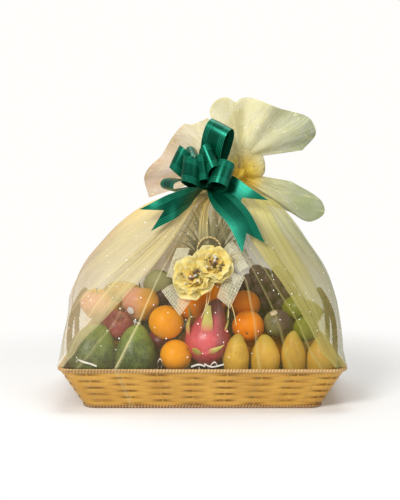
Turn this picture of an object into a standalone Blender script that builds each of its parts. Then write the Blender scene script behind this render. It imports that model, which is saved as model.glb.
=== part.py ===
"""Fruit gift hamper: a flared woven tray basket, a net wrap gathered above its contents, and a ribbon bow.

Units are metres, +Z is up, +X is to the right of the front and -Y is the front. The origin is on the
ground under the middle of the basket.
"""

import math

import bmesh
import bpy
from mathutils import Vector

# Basket: half sizes are to the middle of the border ropes.
RIM_HALF_WIDTH = 0.3072
RIM_HALF_DEPTH = 0.2052
FOOT_HALF_WIDTH = 0.2571
FOOT_HALF_DEPTH = 0.1714
RIM_ROPE_RADIUS = 0.0048
FOOT_ROPE_RADIUS = 0.0036
RIM_ROPE_HEIGHT = 0.0875
RIM_CORNER_RADIUS = 0.036
FOOT_CORNER_RADIUS = 0.030
WALL_THICKNESS = 0.005
FLOOR_THICKNESS = 0.007
WEAVE_ROWS = 10
WEAVE_RELIEF = 0.0009
LONG_SIDE_STEPS = 17
SHORT_SIDE_STEPS = 11
CORNER_STEPS = 4

# Wrap: the net bag, solid with what it holds.
GAP = 0.0006
WRAP_STEPS = 60
WRAP_PLEATS = 15
SQUARE_EXPONENT = 12.0
TALL_GAP = 0.015
TIE_HEIGHT = 0.478

# Stations of the wrap above the rim: height, middle in X, half width, half depth, squareness, pleat depth.
WRAP_STATIONS = (
    (0.0929, 0.000, 0.3080, 0.2050, 10.0, 0.000),
    (0.133, 0.000, 0.3085, 0.2030, 7.0, 0.004),
    (0.190, 0.003, 0.3010, 0.1960, 5.0, 0.008),
    (0.236, 0.002, 0.2940, 0.1870, 4.2, 0.012),
    (0.294, 0.002, 0.2710, 0.1680, 3.4, 0.020),
    (0.351, 0.006, 0.2280, 0.1380, 2.9, 0.032),
    (0.392, 0.012, 0.1930, 0.1110, 2.6, 0.050),
    (0.431, 0.022, 0.1480, 0.0800, 2.4, 0.075),
    (0.452, 0.032, 0.1020, 0.0500, 2.4, 0.100),
    (0.463, 0.039, 0.0480, 0.0290, 2.6, 0.040),
    (0.468, 0.041, 0.0340, 0.0245, 3.2, 0.000),
    (TIE_HEIGHT, 0.041, 0.0340, 0.0245, 3.2, 0.000),
    (0.488, 0.041, 0.0340, 0.0245, 3.2, 0.000),
    (0.500, 0.056, 0.0420, 0.0310, 2.4, 0.040),
    (0.514, 0.066, 0.0340, 0.0240, 2.2, 0.040),
)

# Fruit that presses on the net. Between the fruit the bag draws in by these much at its long sides and its
# ends, over the heights from where that starts and is deepest to where it ends. Each fruit has its kind,
# its place along its side, its height and its scale; the places are in X at the front and back and in Y
# at the ends.
SIDE_DIP = 0.024
END_DIP = 0.018
DIP_HEIGHTS = (0.094, 0.112, 0.205, 0.300)
FRUIT_SIDES = 9
FRUIT_BANDS = 6
RIM_CLEARANCE = 0.0015
FRUIT_RADII = {
    "orange": (0.0385, 0.0385, 0.0370),
    "apple": (0.0375, 0.0375, 0.0350),
    "blush_apple": (0.0430, 0.0430, 0.0400),
    "mango": (0.0310, 0.0280, 0.0540),
    "avocado": (0.0500, 0.0470, 0.0640),
    "lime": (0.0330, 0.0280, 0.0280),
    "plum": (0.0320, 0.0320, 0.0310),
    "dragon_fruit": (0.0500, 0.0480, 0.0560),
}
FRONT_FRUIT = (
    ("avocado", -0.2390, 0.117, 1.00), ("avocado", -0.1450, 0.113, 0.96), ("orange", -0.0574, 0.112, 0.92),
    ("dragon_fruit", 0.0120, 0.126, 0.96), ("mango", 0.0739, 0.107, 0.95), ("mango", 0.1357, 0.106, 1.00),
    ("mango", 0.1975, 0.111, 0.95), ("mango", 0.2571, 0.102, 1.00), ("blush_apple", -0.2380, 0.206, 1.00),
    ("apple", -0.1870, 0.166, 0.94), ("blush_apple", -0.1400, 0.213, 1.00), ("orange", -0.0790, 0.181, 1.00),
    ("orange", -0.0120, 0.205, 0.94), ("orange", 0.1010, 0.167, 0.93), ("orange", 0.0970, 0.213, 0.90),
    ("plum", 0.1660, 0.174, 1.00), ("lime", 0.2280, 0.163, 1.00), ("lime", 0.2050, 0.204, 1.00),
)
BACK_FRUIT = (
    ("mango", -0.2550, 0.108, 1.00), ("mango", -0.1900, 0.106, 1.00), ("avocado", -0.1080, 0.113, 0.96),
    ("orange", -0.0180, 0.112, 1.00), ("orange", 0.0620, 0.112, 1.00), ("apple", 0.1400, 0.110, 1.00),
    ("apple", 0.2160, 0.110, 1.00), ("orange", -0.2200, 0.178, 1.00), ("apple", -0.1450, 0.180, 1.00),
    ("orange", -0.0660, 0.182, 1.00), ("blush_apple", 0.0980, 0.178, 0.90), ("orange", 0.1760, 0.176, 1.00),
)
LEFT_FRUIT = (
    ("orange", 0.0520, 0.112, 1.00), ("apple", -0.0300, 0.112, 1.00), ("orange", 0.0960, 0.178, 0.90),
)
RIGHT_FRUIT = (
    ("blush_apple", 0.0780, 0.112, 0.90), ("avocado", -0.0100, 0.112, 0.90), ("lime", 0.0400, 0.180, 1.00),
    ("lime", -0.0500, 0.180, 1.00),
)

# Tuft above the tie: folded ears of net that fan out from their roots in a bunched core. Each ear has its
# root, the points along its outer edge, how often and how far it ripples, its thickness, and the way it
# faces.
TUFT_ROOT = (0.068, 0.004, 0.509)
UPPER_ROOT = (0.085, 0.004, 0.535)
EAR_ACROSS = 18
EAR_ALONG = 5
EAR_ROOT_SHARE = 0.08
TUFT_CORE = Vector((0.084, 0.008, 0.524))
TUFT_CORE_RADII = (0.055, 0.026, 0.034)
EARS = {
    "left": (
        TUFT_ROOT,
        ((0.014, 0.040, 0.630), (-0.024, 0.040, 0.614), (-0.042, 0.042, 0.615), (-0.071, 0.042, 0.582),
         (-0.097, 0.044, 0.540), (-0.122, 0.044, 0.516), (-0.1345, 0.044, 0.490), (-0.123, 0.042, 0.446)),
        2.5, 0.012, 0.022, (0, 1, 0),
    ),
    "upper": (
        UPPER_ROOT,
        ((0.229, 0.020, 0.555), (0.259, 0.020, 0.590), (0.247, 0.020, 0.624), (0.226, 0.020, 0.638),
         (0.170, 0.018, 0.652), (0.112, 0.018, 0.675), (0.090, 0.018, 0.674), (0.075, 0.018, 0.664),
         (0.057, 0.016, 0.675), (0.034, 0.016, 0.670), (0.018, 0.016, 0.650), (0.018, 0.016, 0.632)),
        3.5, 0.015, 0.034, (0, 1, 0),
    ),
    "lower": (
        TUFT_ROOT,
        ((0.100, 0.012, 0.452), (0.140, 0.026, 0.432), (0.196, 0.030, 0.416), (0.245, 0.030, 0.391),
         (0.281, 0.032, 0.410), (0.272, 0.034, 0.442), (0.205, 0.034, 0.484)),
        1.0, 0.006, 0.022, (0, 1, 0),
    ),
    "rear": (
        TUFT_ROOT,
        ((0.088, 0.118, 0.600), (0.086, 0.096, 0.632), (0.081, 0.056, 0.652), (0.075, 0.012, 0.632)),
        2.0, 0.013, 0.028, (1, 0, 0),
    ),
}

# Bow: one ribbon pulled into loops round a knot, with cut tails and a band round the neck of the wrap.
RIBBON_WIDTH = 0.054
RIBBON_THICKNESS = 0.0016
KNOT = Vector((0.0110, -0.0420, 0.4780))
KNOT_RADII = (0.014, 0.020, 0.014)
BAND_HEIGHT = 0.009
BAND_THICKNESS = 0.0022
BAND_CLEARANCE = 0.0012
BAND_STEPS = 40
LOOP_STEPS = 19
TAIL_STEPS = 9

# Each loop: the way it points, the way its ribbon lies across, its length and its roll.
LOOPS = (
    ((0.20, -0.40, 0.895), (0.80, -0.42, -0.43), 0.150, 0.036),
    ((0.06, -0.76, 0.64), (0.36, -0.30, -0.88), 0.104, 0.024),
    ((-0.667, -0.44, 0.60), (0.43, -0.05, 0.90), 0.106, 0.028),
    ((-0.44, -0.82, 0.36), (0.10, -0.05, 0.99), 0.104, 0.030),
    ((-0.15, -0.88, 0.45), (-0.16, -0.03, 0.99), 0.092, 0.020),
    ((0.39, -0.87, 0.29), (0.32, 0.30, 0.90), 0.102, 0.034),
    ((-0.95, -0.30, 0.00), (0.55, -0.83, -0.10), 0.094, 0.022),
    ((-0.42, -0.42, 0.80), (0.135, -0.904, -0.405), 0.092, 0.022),
)

# Each tail: points along its middle after the knot, the way its ribbon lies across at its end, and how much
# shorter than its first edge its middle and its other edge are cut.
TAILS = (
    (((-0.018, -0.086, 0.458), (-0.060, -0.116, 0.437), (-0.124, -0.130, 0.404)), (-0.60, -0.20, -0.74),
     0.046, 0.000),
    (((0.034, -0.094, 0.455), (0.078, -0.134, 0.410), (0.110, -0.160, 0.346)), (0.88, 0.10, 0.40),
     0.036, 0.000),
    (((0.050, -0.085, 0.478), (0.089, -0.108, 0.451), (0.130, -0.118, 0.424)), (0.56, -0.05, 0.83),
     0.052, 0.044),
)


def clear_scene():
    for thing in list(bpy.data.objects):
        bpy.data.objects.remove(thing)


def finish_material(name, colour, roughness):
    """A plain Principled finish for one piece."""
    material = bpy.data.materials.new(name)
    material.use_nodes = True
    shader = material.node_tree.nodes["Principled BSDF"]
    shader.inputs["Base Color"].default_value = (*colour, 1.0)
    shader.inputs["Roughness"].default_value = roughness
    shader.inputs["Metallic"].default_value = 0.0
    return material


def add_object(name, mesh):
    """Links a mesh as an object of its name."""
    thing = bpy.data.objects.new(name, mesh)
    bpy.context.scene.collection.objects.link(thing)
    return thing


def dress(thing, material, smooth_angle):
    """Gives a finished piece its one material and smooth shading but for its sharp edges."""
    thing.data.materials.clear()
    thing.data.materials.append(material)
    thing.data.shade_smooth()
    thing.data.set_sharp_from_angle(angle=math.radians(smooth_angle))


def loft(name, rings, ends="flat"):
    """A body through rings with the same number of points.

    Its ends are one flat face each, or a strip of faces across a long thin ring, or joined to each other.
    """
    shape = bmesh.new()
    loops = [[shape.verts.new(point) for point in ring] for ring in rings]
    count = len(loops[0])
    nexts = loops[1:] + loops[:1] if ends == "joined" else loops[1:]
    for low, high in zip(loops, nexts):
        for i in range(count):
            j = (i + 1) % count
            shape.faces.new((low[i], low[j], high[j], high[i]))
    if ends == "flat":
        shape.faces.new(list(reversed(loops[0])))
        shape.faces.new(loops[-1])
    if ends == "strip":
        for end in (loops[0], loops[-1]):
            for i in range(count // 2 - 1):
                shape.faces.new((end[i], end[i + 1], end[count - 2 - i], end[count - 1 - i]))
    bmesh.ops.recalc_face_normals(shape, faces=shape.faces)
    mesh = bpy.data.meshes.new(name)
    shape.to_mesh(mesh)
    shape.free()
    return add_object(name, mesh)


def ball(name, middle, radii, sides=14, bands=9):
    """An oval ball of the given radii."""
    shape = bmesh.new()
    bmesh.ops.create_uvsphere(shape, u_segments=sides, v_segments=bands, radius=1.0)
    bmesh.ops.scale(shape, vec=radii, verts=shape.verts)
    bmesh.ops.translate(shape, vec=middle, verts=shape.verts)
    mesh = bpy.data.meshes.new(name)
    shape.to_mesh(mesh)
    shape.free()
    return add_object(name, mesh)


def union(target, others):
    """Joins the others to the target as one body and removes them."""
    group = bpy.data.collections.new(target.name + "_joined")
    for thing in others:
        group.objects.link(thing)
    joint = target.modifiers.new("joined", "BOOLEAN")
    joint.operation = "UNION"
    joint.operand_type = "COLLECTION"
    joint.collection = group
    joint.solver = "MANIFOLD"
    bpy.context.view_layer.objects.active = target
    bpy.ops.object.modifier_apply(modifier=joint.name)
    for thing in others:
        bpy.data.objects.remove(thing)
    bpy.data.collections.remove(group)


def mix(low, high, share):
    return low + (high - low) * share


def smooth_step(low, high, value):
    share = min(max((value - low) / (high - low), 0.0), 1.0)
    return share * share * (3 - 2 * share)


def curve_value(points, place):
    """A smooth curve through tuples that start with their place, read at a place between two of them."""
    index = max(i for i in range(len(points) - 1) if points[i][0] <= place or i == 0)
    before = points[max(index - 1, 0)]
    low, high = points[index], points[index + 1]
    after = points[min(index + 2, len(points) - 1)]
    span = high[0] - low[0]
    share = (place - low[0]) / span
    found = []
    for k in range(1, len(low)):
        slope_low = (high[k] - before[k]) / (high[0] - before[0]) * span
        slope_high = (after[k] - low[k]) / (after[0] - low[0]) * span
        cube, square = share**3, share**2
        found.append(
            (2 * cube - 3 * square + 1) * low[k]
            + (cube - 2 * square + share) * slope_low
            + (3 * square - 2 * cube) * high[k]
            + (cube - square) * slope_high
        )
    return found


def path_by_length(points):
    """The points with their distance along the path put first, and the path's whole length."""
    path = [(0.0, *points[0])]
    for point in points[1:]:
        path.append((path[-1][0] + (Vector(point) - Vector(path[-1][1:])).length, *point))
    return path, path[-1][0]


def super_ellipse(turn, half_width, half_depth, exponent):
    """A point on an oval whose corners grow squarer with the exponent."""
    cosine, sine = math.cos(turn), math.sin(turn)
    reach = (abs(cosine / half_width) ** exponent + abs(sine / half_depth) ** exponent) ** (-1 / exponent)
    return reach * cosine, reach * sine


def basket_half_sizes(height):
    """Half width, half depth and corner radius of the middle of the basket's wall at a height."""
    share = (height - FOOT_ROPE_RADIUS) / (RIM_ROPE_HEIGHT - FOOT_ROPE_RADIUS)
    return (
        mix(FOOT_HALF_WIDTH, RIM_HALF_WIDTH, share),
        mix(FOOT_HALF_DEPTH, RIM_HALF_DEPTH, share),
        mix(FOOT_CORNER_RADIUS, RIM_CORNER_RADIUS, share),
    )


def rounded_rectangle(half_width, half_depth, radius, height, out_at=None):
    """One ring of the basket, counter-clockwise, with an optional outward step for each point."""
    points = []
    flat_x, flat_y = half_width - radius, half_depth - radius
    corners = ((flat_x, flat_y, 0), (-flat_x, flat_y, 90), (-flat_x, -flat_y, 180), (flat_x, -flat_y, 270))
    sides = (LONG_SIDE_STEPS, SHORT_SIDE_STEPS, LONG_SIDE_STEPS, SHORT_SIDE_STEPS)
    for number, (x, y, start) in enumerate(corners):
        for step in range(CORNER_STEPS):
            turn = math.radians(start + 90 * step / CORNER_STEPS)
            points.append((x + radius * math.cos(turn), y + radius * math.sin(turn), turn))
        turn = math.radians(start + 90)
        next_x, next_y, _ = corners[(number + 1) % 4]
        begin = (x + radius * math.cos(turn), y + radius * math.sin(turn))
        end = (next_x + radius * math.cos(turn), next_y + radius * math.sin(turn))
        for step in range(sides[number]):
            share = step / sides[number]
            points.append((mix(begin[0], end[0], share), mix(begin[1], end[1], share), turn))
    ring = []
    for number, (x, y, turn) in enumerate(points):
        out = out_at(number) if out_at else 0.0
        ring.append((x + out * math.cos(turn), y + out * math.sin(turn), height))
    return ring


def wall_ring(height, outward, out_at=None):
    """One ring of the basket's wall, a step outward of the wall's middle."""
    half_width, half_depth, radius = basket_half_sizes(height)
    return rounded_rectangle(half_width + outward, half_depth + outward, radius + outward, height, out_at)


def rope_rings(rope_height, rope_radius, turns):
    """Rings that follow a border rope's round section, at the given turns in degrees."""
    half_width, half_depth, radius = basket_half_sizes(rope_height)
    rings = []
    for turn in turns:
        outward = rope_radius * math.cos(math.radians(turn))
        height = rope_height + rope_radius * math.sin(math.radians(turn))
        rings.append(rounded_rectangle(half_width + outward, half_depth + outward, radius + outward, height))
    return rings


def make_basket():
    """The tray: floor, flared walls with the weave's over and under, and its two border ropes."""
    half_wall = WALL_THICKNESS / 2
    rings = [wall_ring(FLOOR_THICKNESS, -half_wall), wall_ring(0.045, -half_wall)]
    rings += rope_rings(RIM_ROPE_HEIGHT, RIM_ROPE_RADIUS, (215, 165, 120, 75, 30, -15, -50))
    weave_top = RIM_ROPE_HEIGHT - RIM_ROPE_RADIUS - 0.003
    weave_bottom = 2 * FOOT_ROPE_RADIUS + 0.004
    for row in range(WEAVE_ROWS):
        height = mix(weave_top, weave_bottom, row / (WEAVE_ROWS - 1))
        rings.append(wall_ring(height, half_wall, lambda number: WEAVE_RELIEF * (-1) ** (number + row)))
    rings += rope_rings(FOOT_ROPE_RADIUS, FOOT_ROPE_RADIUS, (40, 0, -45, -90))
    dress(loft("basket", rings), finish_material("cane", (0.62, 0.36, 0.10), 0.55), 40)


def wrap_ring(height, middle, half_width, half_depth, exponent, pleat):
    """One ring of the wrap: a soft-cornered square or oval with pleats running up through it."""
    ring = []
    for step in range(WRAP_STEPS):
        turn = 2 * math.pi * step / WRAP_STEPS
        x, y = super_ellipse(turn, half_width, half_depth, exponent)
        uneven = 0.75 + 0.25 * math.sin(3 * turn + 1.0)
        swell = 1 + pleat * uneven * math.cos(WRAP_PLEATS * turn)
        ring.append((middle + x * swell, y * swell, height))
    return ring


def dip_share(height):
    """The share of its full dip that the bag has between the fruit at a height."""
    start, deepest, rising, end = DIP_HEIGHTS
    return smooth_step(start, deepest, height) * (1 - smooth_step(rising, end, height))


def make_wrap_body():
    """The bag from the basket's floor up to just above the tie."""
    rings = []
    inside = WALL_THICKNESS / 2 + GAP
    for height in (FLOOR_THICKNESS + GAP, 0.045, RIM_ROPE_HEIGHT - 2 * RIM_ROPE_RADIUS):
        half_width, half_depth, _ = basket_half_sizes(height)
        rings.append(wrap_ring(height, 0.0, half_width - inside, half_depth - inside, SQUARE_EXPONENT, 0.0))
    past_rope = RIM_ROPE_RADIUS + GAP
    rings.append(
        wrap_ring(
            WRAP_STATIONS[0][0], 0.0, RIM_HALF_WIDTH - past_rope, RIM_HALF_DEPTH - past_rope,
            SQUARE_EXPONENT, 0.0,
        )
    )
    for low, high in zip(WRAP_STATIONS, WRAP_STATIONS[1:]):
        steps = 2 if high[0] - low[0] > TALL_GAP else 1
        for step in range(steps):
            height = mix(low[0], high[0], step / steps)
            middle, half_width, half_depth, exponent, pleat = curve_value(WRAP_STATIONS, height)
            half_width -= END_DIP * dip_share(height)
            half_depth -= SIDE_DIP * dip_share(height)
            rings.append(wrap_ring(height, middle, half_width, half_depth, exponent, max(pleat, 0.0)))
    rings.append(wrap_ring(*WRAP_STATIONS[-1]))
    return loft("wrap", rings)


def pressed_fruit(name, side, kind, along, height, scale):
    """One fruit inside the bag, pushed out until it meets the net, but clear of the basket's rim."""
    radii = [scale * radius for radius in FRUIT_RADII[kind]]
    middle, half_width, half_depth, exponent, _ = curve_value(WRAP_STATIONS, height)
    sideways = side in ("left", "right")
    if sideways:
        radii[0], radii[1] = radii[1], radii[0]
        share = min(abs(along / half_depth), 0.98)
        reach = half_width * (1 - share**exponent) ** (1 / exponent)
    else:
        share = min(abs((along - middle) / half_width), 0.98)
        reach = half_depth * (1 - share**exponent) ** (1 / exponent)
    if height - radii[2] < WRAP_STATIONS[0][0]:
        rim = (RIM_HALF_WIDTH if sideways else RIM_HALF_DEPTH) - RIM_ROPE_RADIUS - RIM_CLEARANCE
        reach = min(reach, rim)
    if sideways:
        place = ((reach - radii[0]) * (1 if side == "right" else -1), along, height)
    else:
        place = (along, (reach - radii[1]) * (1 if side == "back" else -1), height)
    return ball(name, place, radii, FRUIT_SIDES, FRUIT_BANDS)


def make_fruit():
    """Every fruit that presses on the net, on all four sides."""
    sides = {"front": FRONT_FRUIT, "back": BACK_FRUIT, "left": LEFT_FRUIT, "right": RIGHT_FRUIT}
    fruit = []
    for side, places in sides.items():
        for number, place in enumerate(places):
            fruit.append(pressed_fruit(f"fruit_{side}_{number}", side, *place))
    return fruit


def make_ear(name, root, edge, ripples, ripple_depth, thickness, facing):
    """A folded ear of net: a rippled fan from its root, thick enough to be a solid."""
    path, length = path_by_length(edge)
    facing = Vector(facing)
    rings = []
    for along in range(EAR_ALONG + 1):
        share = along / EAR_ALONG
        swell = 0.35 + 0.65 * math.sin(math.pi * min(share * 0.72 + 0.12, 1))
        if along == EAR_ALONG:
            swell *= 0.45
        front, back = [], []
        for across in range(EAR_ACROSS + 1):
            side = across / EAR_ACROSS
            tip = Vector(curve_value(path, min(side * length, length - 1e-6)))
            middle = Vector(root).lerp(tip, mix(EAR_ROOT_SHARE, 1.0, share))
            middle += facing * (ripple_depth * share * math.sin(2 * math.pi * ripples * side))
            rounding = math.sqrt(max(1 - (2 * side - 1) ** 4, 0.03))
            half = facing * (thickness / 2 * rounding * swell)
            front.append(middle - half)
            back.append(middle + half)
        rings.append(front + list(reversed(back)))
    return loft(name, rings, "strip")


def make_wrap():
    """The whole net wrap: the bag over its fruit, the tuft's bunched core and its ears, as one body."""
    wrap = make_wrap_body()
    pieces = make_fruit() + [make_ear(name, *ear) for name, ear in EARS.items()]
    pieces.append(ball("core", TUFT_CORE, TUFT_CORE_RADII))
    union(wrap, pieces)
    dress(wrap, finish_material("net", (0.86, 0.78, 0.42), 0.6), 50)


def make_loop(number, way, across, length, roll):
    """One loop: the ribbon runs out from the knot, rolls over and comes back to it."""
    way = Vector(way).normalized()
    across = Vector(across).normalized()
    side = way.cross(across).normalized()
    rings = []
    for step in range(LOOP_STEPS + 1):
        turn = math.pi * mix(0.02, 0.98, step / LOOP_STEPS)
        out = length * math.sin(turn) ** 1.1
        swing = roll * 0.72 * math.sin(2 * turn) * math.sin(turn) ** 0.6
        slope_out = 1.1 * length * math.sin(turn) ** 0.1 * math.cos(turn)
        slope_swing = roll * 0.72 * (
            2 * math.cos(2 * turn) * math.sin(turn) ** 0.6
            + 0.6 * math.sin(2 * turn) * math.sin(turn) ** -0.4 * math.cos(turn)
        )
        face = (way * slope_out + side * slope_swing).cross(across).normalized() * (RIBBON_THICKNESS / 2)
        edge = across * (RIBBON_WIDTH / 2 * mix(0.30, 1.0, smooth_step(0.0, 0.55, out / length)))
        middle = KNOT + way * out + side * swing
        low, high = middle - edge, middle + edge
        rings.append((low + face, high + face, high - face, low - face))
    return loft(f"loop_{number}", rings, "strip")


def tail_frame(path, length, place, end_across):
    """The middle of a tail at a place along it, the way across it and the way out of its face."""
    middle = Vector(curve_value(path, min(place, length - 1e-6)))
    ahead = Vector(curve_value(path, min(place + 0.004, length - 1e-6)))
    behind = Vector(curve_value(path, max(place - 0.004, 0.0)))
    along = (ahead - behind).normalized()
    across = (end_across - along * end_across.dot(along)).normalized()
    return middle, across, along.cross(across)


def make_tail(number, points, end_across, middle_cut, edge_cut):
    """One tail: the ribbon runs from the knot along a curve to a swallow-tail cut."""
    path, length = path_by_length([tuple(KNOT), *points])
    end_across = Vector(end_across).normalized()
    rings = []
    for step in range(TAIL_STEPS + 1):
        share = step / TAIL_STEPS
        half_width = RIBBON_WIDTH / 2 * mix(0.25, 1.0, smooth_step(0.0, 0.45, share))
        front, back = [], []
        for column, cut in ((1, 0.0), (0, middle_cut), (-1, edge_cut)):
            middle, across, out = tail_frame(path, length, share * (length - cut), end_across)
            front.append(middle + across * (column * half_width) + out * (RIBBON_THICKNESS / 2))
            back.append(middle + across * (column * half_width) - out * (RIBBON_THICKNESS / 2))
        rings.append(front + list(reversed(back)))
    return loft(f"tail_{number}", rings, "strip")


def make_band():
    """The ribbon's ends drawn as a flat band round the neck of the wrap."""
    _, middle, half_width, half_depth, exponent, _ = next(s for s in WRAP_STATIONS if s[0] == TIE_HEIGHT)
    rings = []
    for outward, lift in ((0, -1), (1, -1), (1, 1), (0, 1)):
        clear = BAND_CLEARANCE + outward * BAND_THICKNESS
        ring = []
        for step in range(BAND_STEPS):
            turn = 2 * math.pi * step / BAND_STEPS
            x, y = super_ellipse(turn, half_width + clear, half_depth + clear, exponent)
            ring.append((middle + x, y, TIE_HEIGHT + lift * BAND_HEIGHT / 2))
        rings.append(ring)
    return loft("band", rings, "joined")


def make_bow():
    """The bow as one body: knot, loops, tails and the band that ties it on."""
    bow = ball("bow", KNOT, KNOT_RADII)
    pieces = [make_loop(number, *loop) for number, loop in enumerate(LOOPS)]
    pieces += [make_tail(number, *tail) for number, tail in enumerate(TAILS)]
    pieces.append(make_band())
    union(bow, pieces)
    dress(bow, finish_material("ribbon", (0.0, 0.20, 0.10), 0.3), 40)


def main():
    clear_scene()
    make_basket()
    make_wrap()
    make_bow()


main()
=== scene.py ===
"""The looks of the fruit gift hamper: woven tray, padding, fruit, net wrap, cloth flowers and ribbon bow.

Everything is in metres in the frame of the CAD model: +Z is up, +X is to the right of the front and -Y
is the front.
"""

import random
from contextlib import contextmanager
from math import atan2, copysign, cos, exp, hypot, pi, radians, sin, sqrt

import bmesh
import bpy
from mathutils import Euler, Matrix, Vector, noise


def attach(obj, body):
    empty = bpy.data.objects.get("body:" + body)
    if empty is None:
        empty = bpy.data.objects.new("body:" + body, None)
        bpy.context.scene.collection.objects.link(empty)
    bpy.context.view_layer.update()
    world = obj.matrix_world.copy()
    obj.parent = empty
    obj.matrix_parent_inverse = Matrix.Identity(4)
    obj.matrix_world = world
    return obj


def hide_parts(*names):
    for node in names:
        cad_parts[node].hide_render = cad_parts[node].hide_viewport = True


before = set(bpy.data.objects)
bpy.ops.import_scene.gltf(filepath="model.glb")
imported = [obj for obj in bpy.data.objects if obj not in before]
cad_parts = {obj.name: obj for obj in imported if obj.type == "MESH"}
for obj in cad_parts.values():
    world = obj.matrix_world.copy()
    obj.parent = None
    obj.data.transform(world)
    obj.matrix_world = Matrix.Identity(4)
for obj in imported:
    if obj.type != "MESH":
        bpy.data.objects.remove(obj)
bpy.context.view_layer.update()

# Basket, as in the CAD model: half sizes are to the middle of the border ropes.
RIM_HALF_WIDTH = 0.3072
RIM_HALF_DEPTH = 0.2052
FOOT_HALF_WIDTH = 0.2571
FOOT_HALF_DEPTH = 0.1714
RIM_ROPE_RADIUS = 0.0048
FOOT_ROPE_RADIUS = 0.0036
RIM_ROPE_HEIGHT = 0.0875
RIM_CORNER_RADIUS = 0.036
FOOT_CORNER_RADIUS = 0.030
LINING_HEIGHTS = (0.004, 0.045, 0.086)
LINING_INSET = 0.0032
FLOOR_THICKNESS = 0.005
FLOOR_LIFT = 0.0015
FLOOR_INSET = 0.002
WEAVE_ROWS = 10
STAKES = 26
STAKE_WIDTH = 0.0032
WEAVE_SWING = 0.0013
STRIP_COLUMNS = 520
ROPE_TWIST = 0.0068

# Net, as in the CAD model: height, middle in X, half width, half depth and squareness.
NET_STATIONS = (
    (0.0929, 0.000, 0.3080, 0.2050, 10.0),
    (0.133, 0.000, 0.3085, 0.2030, 7.0),
    (0.190, 0.003, 0.3010, 0.1960, 5.0),
    (0.236, 0.002, 0.2940, 0.1870, 4.2),
    (0.294, 0.002, 0.2710, 0.1680, 3.4),
    (0.351, 0.006, 0.2280, 0.1380, 2.9),
    (0.392, 0.012, 0.1930, 0.1110, 2.6),
    (0.431, 0.022, 0.1480, 0.0800, 2.4),
    (0.452, 0.032, 0.1020, 0.0500, 2.4),
    (0.463, 0.039, 0.0480, 0.0290, 2.6),
    (0.468, 0.041, 0.0340, 0.0245, 3.2),
    (0.478, 0.041, 0.0340, 0.0245, 3.2),
    (0.488, 0.041, 0.0340, 0.0245, 3.2),
    (0.500, 0.056, 0.0420, 0.0270, 2.4),
    (0.514, 0.068, 0.0380, 0.0160, 2.2),
)
TIE_HEIGHT = 0.478
NET_TOP = 0.514
NET_ROWS = 72
LOW_FOLD_HEIGHT = 0.1  # below the rim the folds stay where they are at this height

# The net's way down the basket's outside: heights, and how far it lies outside the middle of the wall.
NET_OUTSIDE = (
    (0.0010, FOOT_ROPE_RADIUS + 0.0006), (0.0036, FOOT_ROPE_RADIUS + 0.0010),
    (0.010, 0.0034), (0.025, 0.0030), (0.045, 0.0030), (0.065, 0.0032), (0.078, 0.0040),
    (0.0845, RIM_ROPE_RADIUS + 0.0008), (0.0885, RIM_ROPE_RADIUS + 0.0010),
    (0.0930, RIM_ROPE_RADIUS - 0.0002),
)

# Fine pleats of the net: how many go round it, their share of the depth and their shift. Then their depth at
# heights.
PLEATS = ((19, 0.9, 0.3), (31, 0.8, 1.7), (47, 0.7, 4.0), (73, 0.5, 2.2), (113, 0.35, 0.9))
PLEAT_DEPTHS = (
    (0.08, 0.0002), (0.15, 0.0006), (0.25, 0.0010), (0.35, 0.0015), (0.43, 0.0021), (0.455, 0.0022),
    (0.47, 0.0014), (0.49, 0.0014), (0.515, 0.0040), (0.54, 0.0050),
)

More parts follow.
